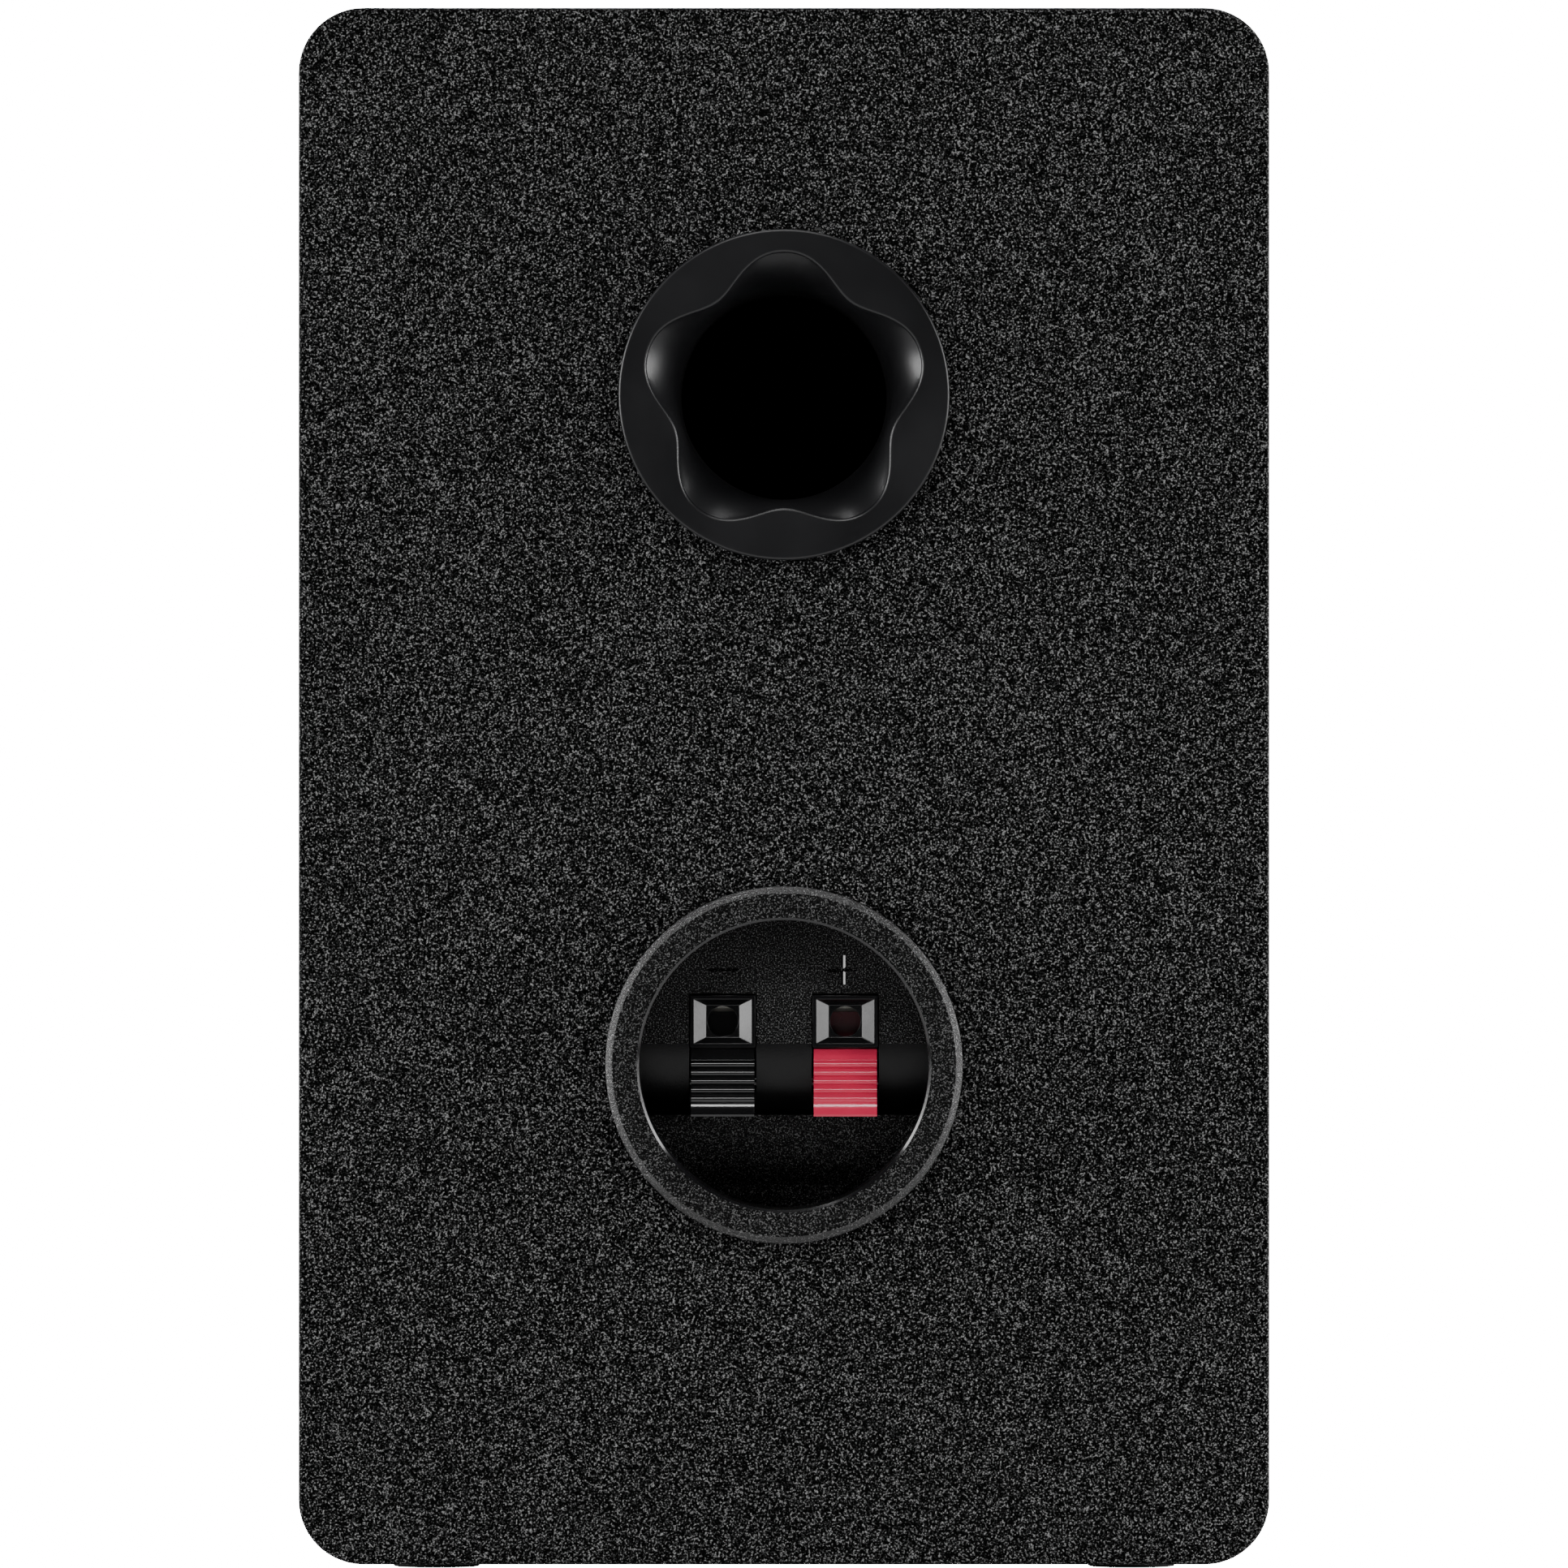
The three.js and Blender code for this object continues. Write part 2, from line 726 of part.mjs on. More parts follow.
// A corrugated disc that centres the coil: flat collar, three waves, flat rim on the basket's ledge.
function wooferSpider() {
  const y = 27.2;
  const wall = 0.6;
  const first = 16;
  const wave = 5.8;
  const crests = Array.from({ length: 7 }, (_, i) => [
    first + (wave * i) / 2,
    y + (i % 2 === 0 ? 0 : -1.3),
  ]);
  const low = [[COIL_BORE + 0.5, y], ...crests, [36.6, y]];
  const high = low.map(([r, at]) => [r, at + wall]).reverse();
  return mesh("woofer_spider", turned([...low, ...high], SMALL), spiderCloth);
}

function wooferMotor() {
  const topPlate = [[14.1, 34], [32.5, 34], [32.5, 39], [14.1, 39]];
  const magnet = [[17, 39.1], [36, 39.1], [36, 51.1], [17, 51.1]];
  const yoke = [
    [4, 34.2],
    [11.9, 34.2],
    [11.9, 51.2],
    [32.5, 51.2],
    [32.5, 56.2],
    [4, 56.2],
  ];
  return [
    mesh("woofer_top_plate", turned(topPlate, SMALL), zincSteel),
    mesh("woofer_magnet", turned(magnet, SMALL), ferrite),
    mesh("woofer_yoke", turned(yoke, SMALL), zincSteel),
  ];
}

// A small board on the basket's lower side, with two tabs for the lead.
function wooferTerminalStrip() {
  const board = box(-9, 9, 25, 28.5, -43, -38.9);
  const tabs = [-5.5, 5.5].map((x) => box(x - 2.4, x + 2.4, 28, 35, -42.2, -41.4));
  return mesh("woofer_terminal_strip", join([board, ...tabs]), boardBrown);
}

// ---------- tweeter ----------
// In its group y is 0 on the baffle's face and grows into the cabinet.
function tweeterFaceplate() {
  const dishSteps = 4;
  const dish = Array.from({ length: dishSteps + 1 }, (_, i) => {
    const t = i / dishSteps;
    return [16.2 + 12.8 * t, 0.8 - 3.8 * Math.sin((t * Math.PI) / 2)];
  });
  const profile = [
    [35.4, -PROUD],
    [36, -2.4],
    [36, -0.05],
    [28.3, -0.05],
    [28.3, 4],
    [16.2, 4],
    ...dish,
  ];
  const bolts = TWEETER_BOLTS.map((at) => countersink(at, -PROUD + 0.4));
  return mesh("tweeter_faceplate", cut(turned(profile), bolts), satinPlastic);
}

function tweeterDome() {
  return mesh("tweeter_dome", domedShell(12.9, 2.6, 4.9, 0.5), silk);
}

// The dome's small half-roll, from its edge to the top plate.
function tweeterSurround() {
  const middle = 14.7;
  const bow = (radius) =>
    arc(middle, 3, radius, Math.PI, 2 * Math.PI, 4).map((p) => [p.x, p.y]);
  const profile = [...bow(1.35), [middle + 1.35, 4], [middle + 0.9, 4], ...bow(0.9).reverse()];
  return mesh("tweeter_surround", turned(profile, SMALL), silk);
}

function tweeterMotor() {
  const coil = [[12.4, 3.4], [12.95, 3.4], [12.95, 9.5], [12.4, 9.5]];
  const topPlate = [[13.5, 4.1], [27, 4.1], [27, 8.1], [13.5, 8.1]];
  const magnet = [[16, 8.2], [27.5, 8.2], [27.5, 16.2], [16, 16.2]];
  const yoke = [
    [3, 5],
    [11.8, 5],
    [11.8, 16.3],
    [26.5, 16.3],
    [26.5, 20.3],
    [3, 20.3],
  ];
  const chamber = [
    [20.5, 20.4],
    [22, 20.4],
    [22, 32],
    [0, 32],
    [0, 30.5],
    [20.5, 30.5],
  ];
  return [
    mesh("tweeter_voice_coil", turned(coil, SMALL), copper),
    mesh("tweeter_top_plate", turned(topPlate, SMALL), zincSteel),
    mesh("tweeter_magnet", turned(magnet, SMALL), ferrite),
    mesh("tweeter_yoke", turned(yoke, SMALL), zincSteel),
    mesh("tweeter_rear_chamber", turnedCup(chamber, SMALL), satinPlastic),
  ];
}

// A cup open towards -Y: a profile that meets the axis twice in its middle.
function turnedCup(profile, segments) {
  const start = profile.findIndex(([r]) => r === 0) + 1;
  const ordered = [...profile.slice(start), ...profile.slice(0, start)];
  return turned(ordered, segments);
}

// ---------- crossover, leads and wadding ----------
const BOARD_Z = FLOOR_Z + 5;
const BOARD_TOP = BOARD_Z + 1.6;

function crossover() {
  const board = plateXY(rectangle(-40, 6, 40, 66), BOARD_Z, BOARD_TOP);
  const posts = [[-36, 10], [36, 10], [-36, 62], [36, 62]].map(([x, y]) =>
    plateXY(circle(x, y, 3, 12), FLOOR_Z + FIT, BOARD_Z + 0.5),
  );
  const coil = plateXY(circle(-20, 38, 15, 24), BOARD_TOP + FIT, BOARD_TOP + 14, [
    circle(-20, 38, 5, 12),
  ]);
  const capacitor = barX(50, BOARD_TOP + 6.7, 6.5, 4, 32, 20);
  const resistor = box(6, 30, 20, 29, BOARD_TOP + FIT, BOARD_TOP + 9);
  return [
    mesh("crossover_board", join([board, ...posts]), boardGreen),
    mesh("crossover_inductor", coil, copper),
    mesh("crossover_capacitor", capacitor, capacitorBlue),
    mesh("crossover_resistor", resistor, ceramicWhite),
  ];
}

// A two-core lead held at both ends: an oval section along a smooth route.
function lead(name, route) {
  const curve = new THREE.CatmullRomCurve3(route.map((p) => new THREE.Vector3(...p)));
  const section = circle(0, 0, 1, 8).map((p) => point(p.x * 1.3, p.y * 2.3));
  const settings = { steps: 18, extrudePath: curve, bevelEnabled: false };
  return mesh(name, new THREE.ExtrudeGeometry(new THREE.Shape(section), settings), leadJacket);
}

function leads() {
  return [
    lead("input_lead", [
      [0, 70, 90],
      [0, 63, 86],
      [0, 60, 72],
      [0, 61, 50],
      [-1, 63, 32],
      [-2, 61, 23],
    ]),
    lead("woofer_lead", [
      [-4, 10, 23],
      [-4, 0, 25],
      [-2, -20, 27],
      [0, -42, 31],
      [0, -55, 36],
      [0, -57.5, 39],
    ]),
    lead("tweeter_lead", [
      [-36, 16, 23],
      [-42, 8, 40],
      [-44, 0, 90],
      [-43, -6, 140],
      [-34, -28, 165],
      [-16, -48, 170],
      [-3, -62, 166],
    ]),
  ];
}

// Two batts of polyester wadding against the side walls.
function wadding(name, side) {
  const inner = INSIDE_X - 14;
  const outer = INSIDE_X - 0.5;
  const [x0, x1] = side < 0 ? [-outer, -inner] : [inner, outer];
  return mesh(name, box(x0, x1, -50, 70, 40, 220), feltGrey);
}

// ---------- the whole speaker ----------
const cabinet = group(
  [0, 0, 0],
  frontBaffle(),
  rearPanel(),
  sleeveWall("top_panel", 0),
  sleeveWall("left_side_panel", 1),
  sleeveWall("bottom_panel", 2),
  sleeveWall("right_side_panel", 3),
  footPad("foot_front_left", -FOOT_X, -FOOT_Y),
  footPad("foot_front_right", FOOT_X, -FOOT_Y),
  footPad("foot_rear_left", -FOOT_X, FOOT_Y),
  footPad("foot_rear_right", FOOT_X, FOOT_Y),
  wadding("wadding_left", -1),
  wadding("wadding_right", 1),
);

const port = group([0, REAR_Y, PORT_Z], portFlare(), portTube());

const terminals = group(
  [0, REAR_Y, CUP_Z],
  terminalCup(),
  terminalBackCover(),
  wireEntry("wire_entry_positive", -CLIP_X),
  wireEntry("wire_entry_negative", CLIP_X),
  clipLever("clip_lever_positive", -CLIP_X, glossRed),
  clipLever("clip_lever_negative", CLIP_X, glossBlack),
  clipSpring("clip_spring_positive", -CLIP_X),
  clipSpring("clip_spring_negative", CLIP_X),
  clipContact("clip_contact_positive", -CLIP_X),
  clipContact("clip_contact_negative", CLIP_X),
);

const woofer = group(
  [0, FRONT_Y, WOOFER_Z],
  wooferBasket(),
  wooferGasket(),
  wooferSurround(),
  wooferCone(),
  dustCap(),
  ...wooferVoiceCoil(),
  wooferSpider(),
  ...wooferMotor(),
  wooferTerminalStrip(),
  ...WOOFER_BOLTS.map((at, i) => screw(`woofer_screw_${i + 1}`, at, -PROUD + 0.4, 17)),
);

const tweeter = group(
  [0, FRONT_Y, TWEETER_Z],
  tweeterFaceplate(),
  tweeterDome(),
  tweeterSurround(),
  ...tweeterMotor(),
  ...TWEETER_BOLTS.map((at, i) => screw(`tweeter_screw_${i + 1}`, at, -PROUD + 0.4, 15)),
);

const speaker = group(
  [0, 0, 0],
  cabinet,
  port,
  terminals,
  woofer,
  tweeter,
  ...crossover(),
  ...leads(),
);

export default speaker;
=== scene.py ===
# %% [markdown]
# # A bookshelf loudspeaker, seen from its rear panel
#
# This is a compact passive two-way loudspeaker. Its cabinet is a box of fibreboard
# wrapped in black pebble-grain vinyl. The rear panel carries a reflex port, whose mouth
# has five lobes, and a round cup with two spring clips for bare wire. The front panel
# carries a woofer and a dome tweeter.
#
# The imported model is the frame. Every position below comes from it, in metres. The
# drivers face -Y, the rear panel faces +Y and +Z is up.

import json
import math
import random

import bmesh
import bpy
from mathutils import Matrix, Vector, noise


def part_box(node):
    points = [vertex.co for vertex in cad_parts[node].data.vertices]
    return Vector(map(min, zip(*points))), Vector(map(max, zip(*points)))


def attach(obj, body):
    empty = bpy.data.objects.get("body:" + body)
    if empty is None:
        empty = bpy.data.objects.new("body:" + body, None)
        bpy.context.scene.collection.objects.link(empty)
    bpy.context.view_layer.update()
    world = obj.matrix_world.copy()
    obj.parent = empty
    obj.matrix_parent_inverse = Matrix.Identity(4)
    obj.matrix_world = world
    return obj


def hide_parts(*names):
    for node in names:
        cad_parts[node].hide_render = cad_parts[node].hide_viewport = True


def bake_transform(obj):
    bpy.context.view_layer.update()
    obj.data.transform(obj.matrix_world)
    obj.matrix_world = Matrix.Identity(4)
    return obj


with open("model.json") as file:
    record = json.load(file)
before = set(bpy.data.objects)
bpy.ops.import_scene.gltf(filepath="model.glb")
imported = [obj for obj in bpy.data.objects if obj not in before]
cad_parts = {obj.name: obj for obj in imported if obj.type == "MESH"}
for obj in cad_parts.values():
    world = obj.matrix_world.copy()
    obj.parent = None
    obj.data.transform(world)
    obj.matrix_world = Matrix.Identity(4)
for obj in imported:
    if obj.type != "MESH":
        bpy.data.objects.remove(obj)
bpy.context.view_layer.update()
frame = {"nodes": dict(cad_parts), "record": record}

MM = 0.001
WELD = 1e-7  # points closer than this become one
random.seed(7)

# %% [markdown]
# ## Reading the frame
#
# A turned piece sits on the middle of its node's box. Four centres are enough for the
# whole speaker: the port, the terminal cup, the woofer and the tweeter.


# %% Centres and faces
def centre_of(node):
    low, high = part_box(node)
    return (low + high) / 2


baffle_low, baffle_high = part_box("front_baffle")
rear_low, rear_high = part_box("rear_panel")
WIDTH = rear_high.x - rear_low.x
HEIGHT = rear_high.z - rear_low.z
BASE_Z = rear_low.z
FRONT_Y = baffle_low.y
REAR_Y = rear_high.y
MIDDLE_Z = (rear_low.z + rear_high.z) / 2
WALL = 0.012  # the side, top and bottom boards; the front board is thicker
PORT = Vector((0, REAR_Y, centre_of("port_tube").z))
CUP = Vector((0, REAR_Y, centre_of("terminal_back_cover").z))
WOOFER = Vector((0, FRONT_Y, centre_of("woofer_magnet").z))
TWEETER = Vector((0, FRONT_Y, centre_of("tweeter_magnet").z))
print(f"cabinet {WIDTH * 1000:.1f} x {HEIGHT * 1000:.1f} mm, port at z {PORT.z * 1000:.1f} mm")

# %% [markdown]
# ## The camera
#
# The view is square to the rear panel and from far away, so the panel fills the picture
# and its sides stay hidden. A long lens at 2.5 m gives that flat look. A shorter lens
# would show the cabinet's sides shrinking away behind the panel.

# %% Camera
CAMERA_DISTANCE = 2.5
SEEN_HEIGHT = 0.2502  # how much of the rear panel's plane the square picture covers
PICTURE_DROP = 0.0005  # how far below the panel the picture starts
SENSOR = 36  # millimetres

camera_data = bpy.data.cameras.new("camera")
camera_data.sensor_width = SENSOR
camera_data.lens = SENSOR * CAMERA_DISTANCE / SEEN_HEIGHT
camera = bpy.data.objects.new("camera", camera_data)
camera.location = (0, REAR_Y + CAMERA_DISTANCE, BASE_Z - PICTURE_DROP + SEEN_HEIGHT / 2)
camera.rotation_euler = (math.radians(90), 0, math.radians(180))
bpy.context.scene.collection.objects.link(camera)
bpy.context.scene.camera = camera
print(f"camera lens {camera_data.lens:.0f} mm")

# %% [markdown]
# ## Materials
#
# Every finish is a Principled shader with procedural detail in object space, in metres.
# Three helpers cover most of them: fine grain as bump, slow wear as a change of
# roughness, and a colour that drifts slightly. Plastic, rubber and metal all look false
# when their roughness is the same everywhere.


# %% Material helpers
def new_material(name, colour, roughness, metallic=0.0, **inputs):
    made = bpy.data.materials.new(name)
    made.use_nodes = True
    shader = made.node_tree.nodes["Principled BSDF"]
    shader.inputs["Base Color"].default_value = (*colour, 1)
    shader.inputs["Roughness"].default_value = roughness
    shader.inputs["Metallic"].default_value = metallic
    for key, value in inputs.items():
        shader.inputs[key.replace("_", " ")].default_value = value
    return made, made.node_tree, shader


def add(tree, kind, **settings):
    node = tree.nodes.new(kind)
    for key, value in settings.items():
        if key in node.inputs:
            node.inputs[key].default_value = value
        else:
            setattr(node, key, value)
    return node


def object_coordinates(tree, stretch=(1, 1, 1)):
    coordinates = add(tree, "ShaderNodeTexCoord")
    mapping = add(tree, "ShaderNodeMapping")
    mapping.inputs["Scale"].default_value = stretch
    tree.links.new(coordinates.outputs["Object"], mapping.inputs["Vector"])
    return mapping.outputs["Vector"]


def noise_value(tree, vector, scale, detail):
    texture = add(tree, "ShaderNodeTexNoise", Scale=scale, Detail=detail)
    tree.links.new(vector, texture.inputs["Vector"])
    return texture.outputs["Fac"]


def remap(tree, value, low, high, start=0.3, end=0.7):
    spread = add(tree, "ShaderNodeMapRange")
    spread.inputs["From Min"].default_value = start
    spread.inputs["From Max"].default_value = end
    spread.inputs["To Min"].default_value = low
    spread.inputs["To Max"].default_value = high
    tree.links.new(value, spread.inputs["Value"])
    return spread.outputs["Result"]


def combine(tree, operation, first, second):
    maths = add(tree, "ShaderNodeMath", operation=operation)
    for socket, value in zip(maths.inputs, (first, second)):
        if isinstance(value, (int, float)):
            socket.default_value = value
        else:
            tree.links.new(value, socket)
    return maths.outputs["Value"]


def bump(tree, shader, height, distance, strength=1.0):
    node = add(tree, "ShaderNodeBump", Strength=strength, Distance=distance)
    tree.links.new(height, node.inputs["Height"])
    tree.links.new(node.outputs["Normal"], shader.inputs["Normal"])


def drift_colour(tree, shader, value, dark, light):
    ramp = add(tree, "ShaderNodeValToRGB")
    ramp.color_ramp.elements[0].color = (*dark, 1)
    ramp.color_ramp.elements[0].position = 0.3
    ramp.color_ramp.elements[1].color = (*light, 1)
    ramp.color_ramp.elements[1].position = 0.7
    tree.links.new(value, ramp.inputs["Fac"])
    tree.links.new(ramp.outputs["Color"], shader.inputs["Base Color"])


def grained(name, colour, roughness, grain=3000, depth=0.00003, wear=0.08, metallic=0.0,
            stretch=(1, 1, 1), **inputs):
    """A finish with fine grain, slow wear in its roughness, and a slight drift of colour."""
    made, tree, shader = new_material(name, colour, roughness, metallic, **inputs)
    vector = object_coordinates(tree, stretch)
    slow = noise_value(tree, vector, 60, 4)
    wear_value = remap(tree, slow, roughness - wear, roughness + wear)
    tree.links.new(wear_value, shader.inputs["Roughness"])
    drift_colour(tree, shader, slow, [c * 0.85 for c in colour], [c * 1.15 for c in colour])
    bump(tree, shader, noise_value(tree, vector, grain, 2), depth, 0.6)
    return made


# %% [markdown]
# ### Pebble-grain vinyl
#
# The wrap is embossed with rounded pebbles about half a millimetre across, with tight
# creases between them. A coarse and a fine noise give the height. The same two,
# multiplied, give the shine, so each crown catches a small glint. They also give the
# colour: it is lighter on the crowns, as painted glints, and near black in the creases,
# as painted shade. The terminal cup uses the same helper with a finer grain.


# %% Vinyl
def grain_with_painted_glints(name, scale, gloss, painted_shade_to_glint, shine, roughness, depth):
    """A black moulded or embossed grain: dull creases, and crowns that catch the light.

    The colour and the shine, the specular level, each run from the creases to the crowns.
    The lighter colour of the crowns is a painted glint, and the near-black creases are painted
    shade.
    """
    made, tree, shader = new_material(name, (0.003, 0.003, 0.003), roughness)
    vector = object_coordinates(tree)
    grain = noise_value(tree, vector, scale, 2)
    fine = noise_value(tree, vector, scale * 1.9, 1)
    slow = noise_value(tree, vector, 45, 3)
    height = combine(tree, "ADD", grain, combine(tree, "MULTIPLY", fine, 0.5))
    bump(tree, shader, height, depth, 1.0)
    crown = combine(tree, "MULTIPLY", remap(tree, grain, 0.0, 1.0, 0.4, 0.75), fine)
    crown = combine(tree, "MULTIPLY", crown, remap(tree, slow, 0.97, 1.03))
    crown = combine(tree, "POWER", crown, 4)
    # The base colour is lighter on the crowns, as painted glints, and near black in the creases,
    # as painted shade.
    shade = remap(tree, crown, *painted_shade_to_glint, 0.0, 0.04)
    tint = add(tree, "ShaderNodeCombineColor")
    for channel in tint.inputs:
        tree.links.new(shade, channel)
    tree.links.new(tint.outputs["Color"], shader.inputs["Base Color"])
    tree.links.new(remap(tree, crown, *shine, 0.0, 0.012), shader.inputs["Specular IOR Level"])
    spread = remap(tree, fine, roughness + gloss, roughness - gloss)
    tree.links.new(spread, shader.inputs["Roughness"])
    return made


vinyl = grain_with_painted_glints("vinyl_wrap", 3500, 0.08, (0.0001, 0.165), (0.01, 0.4), 0.3, 0.0003)
print("made", vinyl.name)

# %% [markdown]
# ### Plastics, metals and cloth
#
# The port is smooth satin plastic. The cup is black with a fine spark-eroded grain, whose
# crowns carry painted glints, and its rim has a glossier grain with a lighter colour, a
# painted highlight. The clips are glossy, and the red one lets a little light through, so
# it has a trace of subsurface scattering; its arm behind the hole is painted a darker red,
# as painted shade. The metal parts are inside or small, and their brushed look comes from
# noise stretched along one axis.

# %% Other finishes
DULL = {"Specular_IOR_Level": 0.2}
satin_plastic = grained(
    "satin_plastic", (0.005, 0.005, 0.0056), 0.34, 9000, 0.000008, 0.05, Specular_IOR_Level=0.34
)
cup_grain = grain_with_painted_glints("grained_plastic", 4200, 0.06, (0.0004, 0.06), (0.06, 0.9), 0.3, 0.00012)
# The rim's grain is glossier, and its lighter colour is a painted highlight on the bevel.
rim_grain = grain_with_painted_glints("rim_grain", 4200, 0.05, (0.001, 0.08), (0.45, 1.0), 0.22, 0.00012)
cup_smooth = grained("cup_smooth", (0.0016, 0.0016, 0.0018), 0.36, 3400, 0.00004, 0.05, **DULL)
gloss_black = grained("gloss_black", (0.003, 0.003, 0.0033), 0.13, 2500, 0.000006, 0.04)
clip_black = grained(
    "clip_black", (0.003, 0.003, 0.0033), 0.2, 2500, 0.00001, 0.08, Specular_IOR_Level=0.32
)
gloss_red = grained(
    "gloss_red", (0.42, 0.017, 0.052), 0.16, 2500, 0.000006, 0.05,
    Subsurface_Weight=0.06, Subsurface_Scale=0.0008,
)
# A darker red for the lever's arm behind the hole: painted shade on the same red plastic.
deep_red = grained("deep_red", (0.07, 0.006, 0.012), 0.3, 2500, 0.000006)
foot_rubber = grained("foot_rubber", (0.012, 0.012, 0.012), 0.8, 4000, 0.00004)
soft_rubber = grained("soft_rubber", (0.005, 0.005, 0.005), 0.4, 5000, 0.00001, 0.06)
cone_paper = grained("cone_paper", (0.011, 0.011, 0.012), 0.7, 1400, 0.00012)
dome_silk = grained("dome_silk", (0.008, 0.008, 0.01), 0.5, 5200, 0.00006)
driver_frame = grained("driver_frame", (0.006, 0.006, 0.0065), 0.38, 3800, 0.00004)
screw_steel = grained("screw_steel", (0.05, 0.05, 0.052), 0.34, 3000, 0.00001, 0.1, 0.9)
steel = grained("steel", (0.55, 0.56, 0.58), 0.32, 900, 0.00001, 0.1, 1.0, (1, 1, 12))
contact_brass = grained("contact_brass", (0.85, 0.83, 0.76), 0.5, 900, 0.00001, 0.1, 0.4)
copper = grained("copper", (0.6, 0.26, 0.11), 0.35, 3000, 0.00005, 0.08, 1.0, (1, 8, 1))
former_film = grained("former_film", (0.42, 0.22, 0.05), 0.4, 2000, 0.00001)
spider_cloth = grained("spider_cloth", (0.5, 0.27, 0.08), 0.85, 2600, 0.00015)
ferrite = grained("ferrite", (0.03, 0.03, 0.032), 0.7, 1800, 0.00006)
strip_board = grained("strip_board", (0.16, 0.09, 0.04), 0.7, 1500, 0.00003)
circuit_board = grained("circuit_board", (0.015, 0.1, 0.035), 0.45, 2000, 0.00002)
capacitor_case = grained("capacitor_case", (0.02, 0.06, 0.16), 0.3, 2000, 0.00001)
resistor_ceramic = grained("resistor_ceramic", (0.75, 0.72, 0.65), 0.85, 1500, 0.00008)
lead_jacket = grained("lead_jacket", (0.02, 0.02, 0.02), 0.55, 2500, 0.00002)
wadding_cloth = grained("wadding", (0.42, 0.41, 0.38), 0.95, 700, 0.0006)
FINISHES = {m.name: m for m in bpy.data.materials}
print(len(FINISHES), "finishes")

# %% [markdown]
# ## The CAD pieces that stay
#
# A CAD node whose shape is right keeps its mesh and only gets its finish, from the
# record's material slot. These are mostly the hidden pieces: motors, crossover parts,
# springs and contacts.

# %% Repaint the CAD nodes
slot_of = {s["node"]: s["material_slot"] for s in frame["record"]["subparts"]}
for name, node in frame["nodes"].items():
    node.data.materials.clear()
    node.data.materials.append(FINISHES[slot_of[name]])
print(len(frame["nodes"]), "nodes repainted")

# %% [markdown]
# ## Making meshes
#
# A real moulded or pressed part has no perfectly sharp edge, and the thin highlight on
# its rounded edge is what shows its shape. So each outline is drawn with sharp corners,
# `rounded` turns the corners into arcs, and then the outline is spun or extruded.


# %% Outline helpers
LONGEST_CUT = 0.45  # the share of a side that one rounded corner may take
NEARLY_STRAIGHT = math.radians(165)  # a flatter corner stays as it is


def rounded(points, radius, closed=False, steps=4):
    """The same outline with each corner turned into an arc of about the given radius."""
    count = len(points)
    result = []
    for i, corner in enumerate(points):
        if not closed and i in (0, count - 1):
            result.append(tuple(corner))
            continue
        here = Vector(corner)
        before = Vector(points[i - 1]) - here
        after = Vector(points[(i + 1) % count]) - here
        reach = min(radius, before.length * LONGEST_CUT, after.length * LONGEST_CUT)
        start = here + before.normalized() * reach
        end = here + after.normalized() * reach
        if before.angle(after) > NEARLY_STRAIGHT:
            result.append(tuple(here))
            continue
        for k in range(steps + 1):
            t = k / steps
            at = start * (1 - t) ** 2 + here * 2 * t * (1 - t) + end * t**2
            result.append(tuple(at))
    return result


def arc_points(centre, radius, start, end, steps):
    """Points of an arc in the outline's plane. Angles are in degrees."""
    angles = [math.radians(start + (end - start) * k / steps) for k in range(steps + 1)]
    return [(centre[0] + radius * math.cos(a), centre[1] + radius * math.sin(a)) for a in angles]


# %% [markdown]
# ## From outline to piece
#
# `finish_piece` does the last steps for every new piece: it welds doubles, turns the
# normals outwards, shades smoothly except at real edges, links the piece to its CAD body
# when it has one, and hides the nodes that it stands for.


# %% Piece helpers
def to_object(bm, name):
    data = bpy.data.meshes.new(name)
    bm.to_mesh(data)
    bm.free()
    made = bpy.data.objects.new(name, data)
    bpy.context.scene.collection.objects.link(made)
    return made


def finish_piece(name, bm, material, body, replaced, crease=35):
    """A finished piece. One that bends has no single body, so it is left without one."""
    bmesh.ops.remove_doubles(bm, verts=bm.verts, dist=WELD)
    bmesh.ops.recalc_face_normals(bm, faces=bm.faces)
    made = to_object(bm, name)
    data = made.data
    data.materials.append(material)
    data.shade_smooth()
    data.set_sharp_from_angle(angle=math.radians(crease))
    weighted = made.modifiers.new("weighted", "WEIGHTED_NORMAL")
    weighted.keep_sharp = True
    if body:
        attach(made, body)
    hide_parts(*replaced)
    print(f"{name}: {len(data.polygons)} faces")
    return made


def spun(profile, centre, segments=128):
    """A turned body about the Y axis through centre, from (radius, y) pairs in millimetres."""
    bm = bmesh.new()
    closed = profile[0][0] > 1e-6 or profile[-1][0] > 1e-6
    verts = [bm.verts.new((r * MM, y * MM, 0)) for r, y in profile]
    edges = [bm.edges.new(pair) for pair in zip(verts, verts[1:])]
    if closed:
        edges.append(bm.edges.new((verts[-1], verts[0])))
    bmesh.ops.spin(
        bm, geom=verts + edges, cent=(0, 0, 0), axis=(0, 1, 0),
        angle=2 * math.pi, steps=segments, use_merge=True,
    )
    bmesh.ops.remove_doubles(bm, verts=bm.verts, dist=WELD)
    bmesh.ops.translate(bm, verts=bm.verts, vec=centre)
    bmesh.ops.recalc_face_normals(bm, faces=bm.faces)
    return bm


